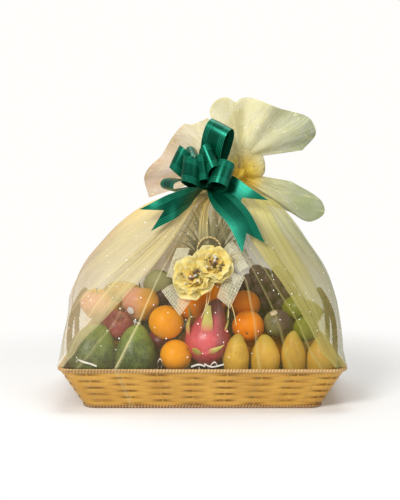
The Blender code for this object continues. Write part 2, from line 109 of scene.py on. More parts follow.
# Folds of the net, in order round it. Each has the share of net that covers what is behind it up to the
# next fold, the extra share on its own line, the columns up to the next fold, and its turn in degrees,
# from the right side through the back, at heights.
FOLDS = (
    (0.58, 0.00, 26, ((0.09, 0), (0.46, 0))),
    (0.70, 0.22, 12, ((0.09, 33), (0.20, 36), (0.30, 42), (0.40, 52), (0.46, 60))),
    (0.74, 0.15, 14, ((0.09, 37), (0.20, 46), (0.30, 56), (0.40, 66), (0.46, 70))),
    (0.72, 0.22, 30, ((0.09, 50), (0.20, 60), (0.30, 70), (0.40, 78), (0.46, 82))),
    (0.78, 0.16, 24, ((0.09, 88), (0.20, 90), (0.30, 92), (0.40, 94), (0.46, 95))),
    (0.82, 0.12, 14, ((0.09, 118), (0.20, 112), (0.30, 108), (0.40, 104), (0.46, 103))),
    (0.78, 0.14, 16, ((0.09, 136), (0.20, 130), (0.30, 122), (0.40, 115), (0.46, 112))),
    (0.62, 0.16, 40, ((0.09, 150), (0.20, 146), (0.30, 138), (0.40, 128), (0.46, 122))),
    (0.50, 0.12, 30, ((0.09, 186), (0.20, 184), (0.30, 190), (0.40, 200), (0.46, 205))),
    (0.42, 0.22, 26, ((0.10, 195), (0.165, 198), (0.218, 207), (0.275, 215), (0.36, 226), (0.43, 231),
                      (0.46, 232))),
    (0.52, 0.16, 26, ((0.095, 212.6), (0.193, 215), (0.276, 221), (0.335, 228), (0.402, 237), (0.46, 238))),
    (0.09, 0.34, 12, ((0.095, 213.8), (0.15, 216), (0.187, 220), (0.266, 230), (0.325, 238), (0.393, 244),
                      (0.46, 242))),
    (0.07, 0.16, 18, ((0.095, 218), (0.146, 221), (0.177, 224), (0.232, 227.5), (0.275, 231.5),
                      (0.325, 239), (0.40, 246), (0.46, 244))),
    (0.045, 0.46, 60, ((0.095, 228.5), (0.149, 232), (0.209, 236), (0.277, 240.5), (0.35, 245.5),
                      (0.41, 249), (0.46, 247))),
    (0.035, 0.03, 44, ((0.095, 268), (0.30, 267), (0.36, 263), (0.41, 258), (0.46, 252))),
    (0.035, 0.03, 30, ((0.095, 282), (0.30, 277), (0.36, 273), (0.41, 268), (0.46, 262))),
    (0.07, 0.28, 18, ((0.095, 300), (0.163, 299), (0.224, 298), (0.284, 297), (0.36, 288), (0.41, 281),
                      (0.46, 271))),
    (0.10, 0.28, 14, ((0.095, 312), (0.165, 310), (0.24, 307), (0.304, 303), (0.371, 298), (0.41, 293),
                      (0.46, 281))),
    (0.16, 0.34, 10, ((0.095, 320.5), (0.153, 318), (0.198, 316), (0.236, 313.5), (0.299, 309.5),
                      (0.339, 306.5), (0.381, 302.5), (0.41, 299), (0.46, 290))),
    (0.70, 0.22, 26, ((0.095, 324), (0.153, 321.5), (0.195, 319.5), (0.242, 317), (0.279, 315),
                      (0.309, 312.5), (0.345, 310), (0.381, 307), (0.43, 303), (0.46, 300))),
    (0.74, 0.12, 16, ((0.095, 326.5), (0.174, 323), (0.25, 321.5), (0.327, 320), (0.396, 322), (0.46, 325))),
    (0.50, 0.18, 30, ((0.095, 329), (0.174, 326.3), (0.25, 328.5), (0.327, 329.5), (0.396, 332),
                      (0.46, 340))),
)
BACK_FOLDS = range(1, 9)  # the folds that close the net behind, where it is single low down
DOUBLED_STRIP = 14  # the fold where the net lies double between the bow and the flowers

# Ears of net above the tie: the root, the points along the outer edge, how often and how far the ear
# ripples, its thickness and the way it faces, all as in the CAD model, and the share of net at its root and
# edge. The bunch stands in front of the CAD model's bunched core.
TUFT_ROOT = (0.068, 0.004, 0.509)
UPPER_ROOT = (0.085, 0.004, 0.535)
GOLD_HEART = Vector((0.090, -0.005, 0.500))
EARS = {
    "left": (
        TUFT_ROOT,
        ((0.014, 0.040, 0.630), (-0.024, 0.040, 0.614), (-0.042, 0.042, 0.615), (-0.071, 0.042, 0.582),
         (-0.097, 0.044, 0.540), (-0.122, 0.044, 0.516), (-0.1345, 0.044, 0.490), (-0.123, 0.042, 0.446)),
        2.5, 0.012, 0.020, (0, 1, 0), 0.60, 0.52,
    ),
    "upper": (
        UPPER_ROOT,
        ((0.229, 0.020, 0.555), (0.259, 0.020, 0.590), (0.247, 0.020, 0.624), (0.226, 0.020, 0.638),
         (0.170, 0.018, 0.652), (0.112, 0.018, 0.675), (0.090, 0.018, 0.674), (0.075, 0.018, 0.664),
         (0.057, 0.016, 0.675), (0.034, 0.016, 0.670), (0.018, 0.016, 0.650), (0.018, 0.016, 0.632)),
        3.5, 0.015, 0.032, (0, 1, 0), 0.76, 0.56,
    ),
    "lower": (
        TUFT_ROOT,
        ((0.100, 0.012, 0.452), (0.140, 0.026, 0.432), (0.196, 0.030, 0.416), (0.245, 0.030, 0.391),
         (0.281, 0.032, 0.410), (0.272, 0.034, 0.442), (0.205, 0.034, 0.484)),
        1.0, 0.006, 0.020, (0, 1, 0), 0.84, 0.66,
    ),
    "bunch": (
        (0.084, 0.002, 0.502),
        ((0.116, 0.006, 0.486), (0.140, 0.008, 0.500), (0.143, 0.008, 0.524), (0.135, 0.008, 0.546),
         (0.104, 0.006, 0.557), (0.068, 0.006, 0.557), (0.040, 0.006, 0.546), (0.030, 0.006, 0.524)),
        3.0, 0.004, 0.038, (0, 1, 0), 0.95, 0.72,
    ),
    "rear": (
        TUFT_ROOT,
        ((0.088, 0.118, 0.600), (0.086, 0.096, 0.632), (0.081, 0.056, 0.652), (0.075, 0.012, 0.632)),
        2.0, 0.013, 0.026, (1, 0, 0), 0.62, 0.52,
    ),
}

# Bow, as in the CAD model: the way each loop points, the way its ribbon lies across, its length and roll.
RIBBON_WIDTH = 0.054
KNOT = Vector((0.0110, -0.0420, 0.4780))
KNOT_RADII = (0.014, 0.020, 0.014)
LOOPS = (
    ((0.20, -0.40, 0.895), (0.80, -0.42, -0.43), 0.150, 0.036),
    ((0.06, -0.76, 0.64), (0.36, -0.30, -0.88), 0.104, 0.024),
    ((-0.667, -0.44, 0.60), (0.43, -0.05, 0.90), 0.106, 0.028),
    ((-0.44, -0.82, 0.36), (0.10, -0.05, 0.99), 0.104, 0.030),
    ((-0.15, -0.88, 0.45), (-0.16, -0.03, 0.99), 0.092, 0.020),
    ((0.39, -0.87, 0.29), (0.32, 0.30, 0.90), 0.102, 0.034),
    ((-0.95, -0.30, 0.00), (0.55, -0.83, -0.10), 0.094, 0.022),
    ((-0.42, -0.42, 0.80), (0.135, -0.904, -0.405), 0.092, 0.022),
)

# Each tail, as in the CAD model: points along its middle after the knot, the way its ribbon lies across, and
# how much shorter its middle and its second edge are cut.
TAILS = (
    (((-0.018, -0.086, 0.458), (-0.060, -0.116, 0.437), (-0.124, -0.130, 0.404)), (-0.60, -0.20, -0.74),
     0.046, 0.000),
    (((0.034, -0.094, 0.455), (0.078, -0.134, 0.410), (0.110, -0.160, 0.346)), (0.88, 0.10, 0.40),
     0.036, 0.000),
    (((0.050, -0.085, 0.478), (0.089, -0.108, 0.451), (0.130, -0.118, 0.424)), (0.56, -0.05, 0.83),
     0.052, 0.044),
)

# White paper that shows above the rim: points along each strip and its width.
PAPER_STRIPS = (
    (((-0.268, -0.180, 0.109), (-0.256, -0.186, 0.104), (-0.240, -0.188, 0.100), (-0.226, -0.190, 0.095)),
     0.0040),
    (((-0.271, -0.180, 0.114), (-0.268, -0.181, 0.108), (-0.270, -0.182, 0.102)), 0.0030),
    (((-0.094, -0.188, 0.090), (-0.0955, -0.189, 0.102), (-0.091, -0.190, 0.111), (-0.086, -0.189, 0.104),
      (-0.088, -0.188, 0.090)), 0.0024),
    (((-0.024, -0.190, 0.094), (-0.008, -0.192, 0.099), (0.006, -0.191, 0.095)), 0.0034),
    (((0.004, -0.190, 0.100), (0.020, -0.192, 0.094), (0.046, -0.190, 0.099)), 0.0030),
    (((0.014, -0.188, 0.092), (0.026, -0.190, 0.104), (0.034, -0.190, 0.094)), 0.0026),
)

# Padding under the fruit: its half sizes, where its corners start to turn in, and their radius. Then loose
# shreds: width and length of each, half sizes of the ring that they lie inside, and how many there are.
BED_HALF_WIDTH, BED_HALF_DEPTH = 0.2675, 0.180
BED_CORNER = (0.2175, 0.130)
BED_CORNER_RADIUS = 0.050
SHRED_SIZE = (0.0026, 0.060)
SHRED_RING = (0.289, 0.191)
SHRED_COUNT = 150

# Skins: colours, and what differs from a plain skin. See skin_material for what the values are.
ORANGE_PEEL = {"contrast": 1.8, "scale": 22.0, "roughness": 0.40, "coat": 0.02, "specular": 0.14,
               "pores": (620.0, 0.50, 0.0007)}
SKINS = {
    "orange": {"dark": (0.68, 0.200, 0.001), "light": (0.83, 0.350, 0.001), **ORANGE_PEEL},
    # The deep orange skin is the orange skin made redder, as the oranges that use it are, and brighter in
    # red: painted light that lifts those oranges out of the shade they sit in.
    "deep_orange": {"dark": (0.80, 0.175, 0.001), "light": (0.91, 0.290, 0.001), **ORANGE_PEEL},
    "crimson": {
        "dark": (0.17, 0.008, 0.020), "light": (0.36, 0.030, 0.045), "contrast": 2.6, "scale": 34.0,
        "roughness": 0.30, "coat": 0.2, "tint": ((0.55, 0.30, 0.08), "Z", 0.75, 1.1),
        "flecks": ((0.70, 0.45, 0.22), 0.18, 0.3, 420.0),
    },
    "blush": {
        "dark": (0.82, 0.32, 0.030), "light": (0.90, 0.56, 0.085), "contrast": 2.2, "scale": 26.0,
        "roughness": 0.34, "coat": 0.15, "tint": ((0.86, 0.38, 0.24), "X", -0.3, 0.7),
        "flecks": ((0.92, 0.72, 0.40), 0.18, 0.3, 420.0),
    },
    "mango": {
        "dark": (0.44, 0.23, 0.030), "light": (0.68, 0.42, 0.050), "contrast": 2.8, "scale": 34.0,
        "roughness": 0.44, "coat": 0.05, "tint": ((0.46, 0.36, 0.05), "Z", 0.5, 1.2),
        "flecks": ((0.26, 0.13, 0.03), 0.20, 0.34, 330.0), "ripe": (0.62, 0.34, 0.045), "specular": 0.18,
    },
    # The avocado's tint lightens and yellows its own top: painted light from above.
    "avocado": {
        "dark": (0.022, 0.046, 0.014), "light": (0.125, 0.175, 0.034), "contrast": 3.0, "scale": 60.0,
        "coat": 0.1, "pores": (300.0, 0.95, 0.0020), "tint": ((0.19, 0.25, 0.035), "Z", 0.05, 1.0),
        "flecks": ((0.26, 0.28, 0.09), 0.24, 0.5, 420.0),
    },
    "lime": {
        "dark": (0.16, 0.18, 0.006), "light": (0.27, 0.29, 0.014), "roughness": 0.35, "coat": 0.125,
        "pores": (700.0, 0.4, 0.0005),
    },
    "dusky": {
        "dark": (0.105, 0.070, 0.040), "light": (0.26, 0.25, 0.075), "contrast": 3.0, "scale": 26.0,
        "roughness": 0.40, "coat": 0.1, "tint": ((0.10, 0.045, 0.045), "X", -0.4, 0.6),
    },
    "green": {"dark": (0.34, 0.35, 0.13), "light": (0.50, 0.50, 0.24), "scale": 30.0},
}

# Fruit that shows: kind, name, place, turn in degrees about X, Y and Z, and scale.
STICKER_FRUIT = (-0.1380, -0.080, 0.2164)
STICKER_FRUIT_RADIUS = 0.0424
STICKER_FACING = (-0.020, -0.036, -0.012)
STICKER_RADIUS = 0.0090
FRUIT = (
    ("orange", "orange_a", (-0.079, -0.135, 0.1813), (20, 15, 40)),
    ("orange", "orange_b", (-0.0574, -0.160, 0.1126), (60, -20, 80), (0.90, 0.90, 0.92)),
    ("deep_orange", "orange_c", (-0.0206, -0.080, 0.2069), (-30, 40, 10), (0.94, 0.94, 0.94)),
    ("deep_orange", "orange_d", (0.0967, -0.058, 0.2098), (15, -10, 200), (0.88, 0.90, 0.88)),
    ("deep_orange", "orange_e", (0.1007, -0.112, 0.1688), (110, 20, 0), (0.92, 0.92, 0.94)),
    ("deep_orange", "orange_f", (0.0262, -0.040, 0.2180), (80, 60, 30), (0.88, 0.88, 0.88)),
    ("mango", "mango_a", (0.0739, -0.160, 0.1076), (0, 2, -20), (0.90, 0.95, 0.98)),
    ("mango", "mango_b", (0.1357, -0.160, 0.1066), (0, -3, 150), (1.04, 1.00, 0.96)),
    ("mango", "mango_c", (0.1975, -0.160, 0.1116), (2, -4, 10), (0.84, 0.95, 1.02)),
    ("mango", "mango_d", (0.2571, -0.156, 0.1026), (0, -4, 170), (1.06, 1.00, 0.94)),
    ("avocado", "avocado_a", (-0.2390, -0.140, 0.1175), (0, 12, 0), (1.12, 1.0, 0.98)),
    ("avocado", "avocado_b", (-0.1450, -0.145, 0.1135), (0, 2, 30), (0.96, 0.96, 1.00)),
    ("blush_apple", "blush_a", STICKER_FRUIT, (8, -6, 190), (1.13, 1.13, 1.13)),
    ("blush_apple", "blush_b", (-0.2360, -0.072, 0.2134), (-6, 10, 255)),
    ("crimson_apple", "crimson_a", (-0.1860, -0.104, 0.1680), (40, 10, 0), (0.97, 0.97, 0.98)),
    ("crimson_apple", "crimson_b", (-0.2200, -0.030, 0.1500), (10, 30, 80)),
    ("mango", "mango_e", (-0.1800, -0.006, 0.2330), (90, 20, 80), (0.86, 0.86, 0.86)),
    ("dusky_fruit", "dusky_a", (0.1660, -0.104, 0.1745), (24, -20, 0)),
    ("dusky_fruit", "dusky_b", (-0.0300, -0.020, 0.1500), (30, 8, 40), (1.05, 1.05, 1.05)),
    ("lime", "lime_a", (0.2080, -0.070, 0.2040), (70, 30, 20), (1.05, 1.05, 1.02)),
    ("lime", "lime_b", (0.2280, -0.112, 0.1628), (60, -50, 0), (1.05, 1.05, 1.0)),
    ("lime", "lime_c", (0.2400, -0.030, 0.1850), (10, 80, 0)),
    ("green_fruit", "green_a", (-0.1000, -0.010, 0.2500), (10, 20, 0), (1.0, 1.0, 1.05)),
    ("green_fruit", "green_b", (0.1050, 0.070, 0.1180), (20, 10, 90), (1.1, 1.1, 1.1)),
)

# Fruit that fills the middle, the back and the ends: kind, place and turn.
FILLING = (
    ("mango", (-0.255, 0.135, 0.108), (5, 8, 20)), ("mango", (-0.190, 0.142, 0.106), (4, -4, 160)),
    ("avocado", (-0.108, 0.130, 0.113), (-4, -6, 0)), ("orange", (-0.018, 0.148, 0.112), (30, 50, 0)),
    ("orange", (0.062, 0.150, 0.112), (120, 10, 0)),
    ("crimson_apple", (0.140, 0.148, 0.110), (20, 15, 0)),
    ("crimson_apple", (0.216, 0.146, 0.110), (10, -20, 90)),
    ("blush_apple", (0.238, 0.070, 0.112), (-10, 20, 30)),
    ("orange", (-0.250, 0.046, 0.112), (10, 10, 10)), ("blush_apple", (-0.172, 0.060, 0.112), (20, 0, 0)),
    ("orange", (0.248, -0.010, 0.112), (0, -10, 0)), ("orange", (-0.220, 0.096, 0.178), (40, 50, 60)),
    ("crimson_apple", (-0.145, 0.092, 0.180), (30, -10, 0)),
    ("orange", (-0.066, 0.098, 0.182), (80, 0, 20)), ("blush_apple", (0.098, 0.100, 0.178), (30, 20, 0)),
    ("orange", (0.176, 0.096, 0.176), (10, 70, 0)), ("lime", (0.235, 0.100, 0.170), (80, 20, 0)),
    ("lime", (0.240, 0.040, 0.180), (20, 80, 40)), ("crimson_apple", (-0.262, -0.030, 0.112), (0, 20, 0)),
    ("orange", (-0.175, -0.030, 0.112), (0, 0, 0)),
    ("crimson_apple", (-0.095, -0.040, 0.118), (0, 10, 50)),
    ("orange", (0.165, -0.020, 0.112), (0, 30, 0)), ("orange", (0.090, -0.060, 0.106), (0, 30, 0)),
    ("mango", (0.205, -0.075, 0.110), (5, 0, 90)), ("orange", (-0.020, -0.075, 0.118), (10, 0, 90)),
)

# Dragon fruit: half sizes and place, and for each bract its turn round the fruit, height, lean outward, sway
# aside, length, width, curl and the share of its width left at the tip.
DRAGON_HALF_WIDTH, DRAGON_HALF_HEIGHT = 0.0510, 0.0530
DRAGON_PLACE = (0.0124, -0.134, 0.1385)
BRACTS = (
    (264, 0.016, -10, -4, 0.070, 0.025, 0.10, 0.75), (204, 0.008, 22, -4, 0.066, 0.020, -0.95, 0.15),
    (335, 0.020, 4, 0, 0.034, 0.014, 0.20, 0.12), (20, 0.022, -2, 0, 0.052, 0.026, 0.22, 0.12),
    (68, 0.024, -4, 0, 0.056, 0.028, 0.22, 0.12), (112, 0.020, -2, 0, 0.052, 0.028, 0.22, 0.12),
    (158, 0.024, -4, 0, 0.054, 0.024, 0.22, 0.12), (262, -0.0215, 22, -64, 0.050, 0.016, -0.42, 0.10),
    (242, -0.0260, 42, 0, 0.028, 0.022, 0.00, 0.85), (160, -0.020, 40, 0, 0.030, 0.020, 0.22, 0.12),
    (85, -0.024, 44, 0, 0.032, 0.020, 0.22, 0.12), (30, -0.022, 42, 0, 0.032, 0.020, 0.22, 0.12),
)

# Pineapple: half sizes and place, and the heights of its crown's outermost and innermost leaves.
PINEAPPLE_HALF_WIDTH, PINEAPPLE_HALF_HEIGHT = 0.0540, 0.0880
PINEAPPLE_X, PINEAPPLE_Y, PINEAPPLE_Z = 0.022, 0.030, 0.200
CROWN_FOOT, CROWN_HEART = 0.278, 0.291
CROWN_LEAVES = 50

# Bunches of small fruit: middle, half sizes, how many, seed, and dark and light colour.
BUNCHES = {
    "dark_grapes": ((0.150, 0.005, 0.226), (0.064, 0.040, 0.058), 60, 3,
                    (0.062, 0.024, 0.022), (0.135, 0.066, 0.056)),
    "dark_plums": ((-0.060, -0.025, 0.220), (0.034, 0.030, 0.028), 16, 5,
                   (0.050, 0.018, 0.024), (0.125, 0.055, 0.060)),
}

# End handles: where they stand, their half span, foot, rise and the canes they are twisted from.
HANDLE_FOOT_X, HANDLE_TOP_X = 0.2970, 0.269
HANDLE_HALF_SPAN, HANDLE_FOOT, HANDLE_RISE = 0.078, 0.089, 0.147
HANDLE_CANES, HANDLE_TWISTS = 3, 15

# Open-mesh leaves of the trim: cells along each and its four corners on the front of the net, in X and Z.
MESH_LEAF_CELLS_ACROSS = 6
MESH_LEAVES = (
    (10, ((-0.0869, 0.2560), (-0.0659, 0.2695), (-0.0220, 0.2389), (-0.0477, 0.2043))),
    (12, ((-0.0770, 0.2853), (-0.0550, 0.3433), (-0.0265, 0.3433), (-0.0477, 0.2794))),
    (11, ((0.0472, 0.3433), (0.0644, 0.3583), (0.1001, 0.3053), (0.0792, 0.2940))),
    (10, ((0.0500, 0.2960), (0.0903, 0.2832), (0.0584, 0.2201), (0.0312, 0.2424))),
)

# Flowers: place on the front of the net in X and Z, radius and seed, and for each round of petals how many,
# their size, tilt in degrees and lift. Cords of the trim: the ring's middle and radius, each curl's middle,
# reach, turns and radius, and each straw's ends.
FLOWERS = {"flower_left": (-0.0205, 0.2800, 0.047, 3), "flower_right": (0.0240, 0.3050, 0.045, 8)}
PETAL_ROUNDS = ((9, 1.0, 4, 0.002), (8, 0.82, 18, 0.006), (7, 0.58, 38, 0.009))
STAMENS = 18
RING_X, RING_Z, RING_RADIUS = 0.0147, 0.3385, 0.0255
CURLS = (
    ((-0.052, 0.310), 0.0105, 1.6, 0.0007), ((0.066, 0.318), 0.0120, 1.4, 0.0007),
    ((0.080, 0.333), 0.0080, 1.2, 0.0006), ((-0.060, 0.296), 0.0070, 1.1, 0.0006),
)
STRAWS = (
    ((0.0102, 0.2489), (-0.0027, 0.1996)), ((0.0487, 0.2574), (0.0552, 0.1996)),
    ((0.0487, 0.2574), (0.0720, 0.1850)), ((0.016, 0.262), (0.006, 0.214)),
)

# Small leaves in the flowers' hearts: place on the front of the net, turn in degrees and length.
SPRIG_LEAVES = (
    (-0.0105, 0.2780, 12, 0.024), (-0.0060, 0.2800, -28, 0.018), (0.0260, 0.2960, -160, 0.015),
    (0.0310, 0.2950, -130, 0.012),
)
DOT_COUNT = 300
DOT_GAP = 0.013

# Stage: the ground fades out between two distances from the middle. Each light has a place, size and power.
GROUND_CLEAR = 0.45
GROUND_END = 1.10
LIGHTS = {
    "key": ((-1.3, -2.5, 1.9), 1.1, 78.0),
    "fill": ((2.2, -2.0, 1.0), 1.8, 16.0),
    "top": ((0.1, 0.5, 2.4), 1.6, 24.0),
}
LIGHTS_AIM = (0, 0, 0.25)
CAMERA_PLACE = (-0.005, -2.590, 0.5546)
CAMERA_AIM = (-0.005, 0.0, 0.328)
CAMERA_LENS = 81.86
SENSOR_HEIGHT = 36.0


def mix(low, high, share):
    return low + (high - low) * share


def smooth_step(low, high, value):
    share = min(max((value - low) / (high - low), 0.0), 1.0)
    return share * share * (3 - 2 * share)


def curve_value(points, place):
    """A smooth curve through tuples that start with their place, read at a place between two of them."""
    index = max(i for i in range(len(points) - 1) if points[i][0] <= place or i == 0)
    before = points[max(index - 1, 0)]
    low, high = points[index], points[index + 1]
    after = points[min(index + 2, len(points) - 1)]
    span = high[0] - low[0]
    share = (place - low[0]) / span
    found = []
    for k in range(1, len(low)):
        slope_low = (high[k] - before[k]) / (high[0] - before[0]) * span
        slope_high = (after[k] - low[k]) / (after[0] - low[0]) * span
        cube, square = share**3, share**2
        found.append(
            (2 * cube - 3 * square + 1) * low[k]
            + (cube - 2 * square + share) * slope_low
            + (3 * square - 2 * cube) * high[k]
            + (cube - square) * slope_high
        )
    return found


def path_by_length(points):
    """The points with their distance along the path put first, and the path's whole length."""
    path = [(0.0, *points[0])]
    for point in points[1:]:
        path.append((path[-1][0] + (Vector(point) - Vector(path[-1][1:])).length, *point))
    return path, path[-1][0]


def super_ellipse(turn, half_width, half_depth, exponent):
    """A point on an oval whose corners grow squarer with the exponent."""
    cosine, sine = cos(turn), sin(turn)
    reach = (abs(cosine / half_width) ** exponent + abs(sine / half_depth) ** exponent) ** (-1 / exponent)
    return reach * cosine, reach * sine


def select_only(piece):
    """Deselects everything, then selects one piece and makes it the active one."""
    bpy.ops.object.select_all(action="DESELECT")
    piece.select_set(True)
    bpy.context.view_layer.objects.active = piece


@contextmanager
def editing(piece):
    """Edit mode on one piece, with nothing in it selected."""
    select_only(piece)
    bpy.ops.object.mode_set(mode="EDIT")
    bpy.ops.mesh.select_all(action="DESELECT")
    yield
    bpy.ops.object.mode_set(mode="OBJECT")


def pick(piece, rule, kind="VERT"):
    """In edit mode, selects the points whose place passes the rule, or the edges whose direction does."""
    bpy.ops.mesh.select_mode(type=kind)
    bpy.ops.mesh.select_all(action="DESELECT")
    shape = bmesh.from_edit_mesh(piece.data)
    for item in shape.verts if kind == "VERT" else shape.edges:
        if rule(item.co if kind == "VERT" else (item.verts[1].co - item.verts[0].co).normalized()):
            item.select_set(True)
    bmesh.update_edit_mesh(piece.data)


def pull(piece, rule, by, reach):
    """Moves the points that pass the rule, and draws those within reach after them."""
    pick(piece, rule)
    bpy.ops.transform.translate(
        value=by, use_proportional_edit=True, proportional_edit_falloff="SMOOTH", proportional_size=reach
    )


def squeeze(piece, rule, factors, around, reach):
    """Scales the points that pass the rule about a place, and draws those within reach after them."""
    pick(piece, rule)
    bpy.ops.transform.resize(
        value=factors, center_override=around, use_proportional_edit=True,
        proportional_edit_falloff="SMOOTH", proportional_size=reach,
    )


def shift_all(by):
    """In edit mode, moves the whole piece."""
    bpy.ops.mesh.select_all(action="SELECT")
    bpy.ops.transform.translate(value=by)


def face_outwards():
    """In edit mode, turns every face of the piece outwards."""
    bpy.ops.mesh.select_all(action="SELECT")
    bpy.ops.mesh.normals_make_consistent(inside=False)


def finish_modifier(piece, kind, **settings):
    """Adds a modifier to a piece and applies it."""
    select_only(piece)
    modifier = piece.modifiers.new(kind.lower(), kind)
    for name, value in settings.items():
        setattr(modifier, name, value)
    bpy.ops.object.modifier_apply(modifier=modifier.name)


def settle(piece, *moves):
    """Carries a piece through its moves, the last one first, and leaves them all in its mesh."""
    for move in moves:
        piece.matrix_world = piece.matrix_world @ move
    select_only(piece)
    bpy.ops.object.transform_apply(location=True, rotation=True, scale=True)


def moved(by):
    return Matrix.Translation(by)


def turned(*angles):
    """A turn about X, Y and Z by angles in radians."""
    return Euler(angles).to_matrix().to_4x4()


def turned_about(axis, degrees):
    """A turn by degrees about X, Y or Z."""
    return Matrix.Rotation(radians(degrees), 4, axis)


def pointing(way):
    """The turn that points +Z along a way."""
    return way.to_track_quat("Z", "Y").to_matrix().to_4x4()


def join(pieces, name):
    """Joins pieces as one of a new name."""
    select_only(pieces[0])
    for piece in pieces:
        piece.select_set(True)
    bpy.ops.object.join()
    pieces[0].name = name
    return pieces[0]


def duplicate(model, name, *moves):
    """A copy with its own mesh, carried through its moves, the last one first."""
    copy = model.copy()
    copy.data = model.data.copy()
    copy.name = name
    bpy.context.scene.collection.objects.link(copy)
    settle(copy, *moves)
    return copy


def reshape(piece, rule):
    """Moves every point of a piece to where the rule puts it."""
    for vertex in piece.data.vertices:
        vertex.co = rule(vertex.co)
    piece.data.update()


def keep_own_place(piece, size):
    """Stores each point's place on the model, in units of its size, for patterns that follow the fruit."""
    own = piece.data.attributes.new("own", "FLOAT_VECTOR", "POINT")
    for number, vertex in enumerate(piece.data.vertices):
        own.data[number].vector = vertex.co / size


def store_value(piece, name, values):
    """Stores one number for each point of a piece."""
    kept = piece.data.attributes.new(name, "FLOAT", "POINT")
    kept.data.foreach_set("value", values)


def mark(piece, name, value):
    """Stores the same number for every point of a piece."""
    store_value(piece, name, [value] * len(piece.data.vertices))


def dress(piece, *materials, smooth=None):
    """Gives a piece its materials in the order of its slots, and smooth shading but for sharper edges."""
    piece.data.materials.clear()
    for material in materials:
        piece.data.materials.append(material)
    if smooth is not None:
        select_only(piece)
        bpy.ops.object.shade_smooth_by_angle(angle=radians(smooth))


def stand_for(piece, node):
    """The piece rides on the model, in the place of a CAD node."""
    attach(piece, "root")
    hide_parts(node)


def primitive(name, add, scale=(1, 1, 1), **settings):
    """Adds a primitive about the origin, names it and puts its scale in its mesh."""
    bpy.ops.object.select_all(action="DESELECT")
    add(**settings)
    piece = bpy.context.object
    piece.name = name
    piece.scale = scale
    settle(piece)
    return piece


def ball(name, radii, segments=32, rings=20):
    """An oval ball about the origin, its poles on Z."""
    return primitive(
        name, bpy.ops.mesh.primitive_uv_sphere_add, radii, segments=segments, ring_count=rings, radius=1.0,
    )


def rod(name, radius, length, sides=10, tip=None):
    """A rod or cone from the origin up along Z."""
    return primitive(
        name, bpy.ops.mesh.primitive_cone_add, vertices=sides, radius1=radius,
        radius2=radius if tip is None else tip, depth=length, location=(0, 0, length / 2),
    )


def sheet(name, width, length, columns, rows):
    """A flat sheet about the origin with its width along X and its length along Y."""
    return primitive(
        name, bpy.ops.mesh.primitive_grid_add, (width, length, 1),
        x_subdivisions=columns, y_subdivisions=rows, size=1.0,
    )


def cloth(name, rows, around=False):
    """A sheet through rows of points. Its UV map runs along a row and from the first row to the last."""
    count = len(rows[0])
    spans = count if around else count - 1
    faces = []
    uvs = []
    for row in range(len(rows) - 1):
        for step in range(spans):
            ahead = (step + 1) % count
            faces.append((row * count + step, row * count + ahead,
                          (row + 1) * count + ahead, (row + 1) * count + step))
            low, high = row / (len(rows) - 1), (row + 1) / (len(rows) - 1)
            left, right = step / spans, (step + 1) / spans
            uvs += [left, low, right, low, right, high, left, high]
    mesh = bpy.data.meshes.new(name)
    mesh.from_pydata([tuple(point) for row in rows for point in row], [], faces)
    mesh.uv_layers.new(name="UVMap").data.foreach_set("uv", uvs)
    mesh.update()
    piece = bpy.data.objects.new(name, mesh)
    bpy.context.scene.collection.objects.link(piece)
    return piece


def tube(name, points, radius, sides=6, closed=False):
    """A cord of round section along points."""
    rings = []
    count = len(points)
    up = Vector((0.0, 0.0, 1.0))
    for number, point in enumerate(points):
        before = points[number - 1] if closed or number else points[0]
        after = points[(number + 1) % count] if closed or number < count - 1 else points[-1]
        along = (Vector(after) - Vector(before)).normalized()
        side = along.cross(up)
        if side.length < 0.2:
            side = along.cross(Vector((0, 1, 0)))
        side.normalize()
        upward = side.cross(along)
        ring = []
        for step in range(sides):
            turn = 2 * pi * step / sides
            ring.append(Vector(point) + radius * (cos(turn) * side + sin(turn) * upward))
        rings.append(ring)
    if closed:
        rings.append(rings[0])
    piece = cloth(name, rings, around=True)
    with editing(piece):
        bpy.ops.mesh.select_all(action="SELECT")
        bpy.ops.mesh.remove_doubles(threshold=0.00001)
        if not closed:
            bpy.ops.mesh.select_all(action="DESELECT")
            bpy.ops.mesh.select_non_manifold()
            bpy.ops.mesh.edge_face_add()
        face_outwards()
    return piece


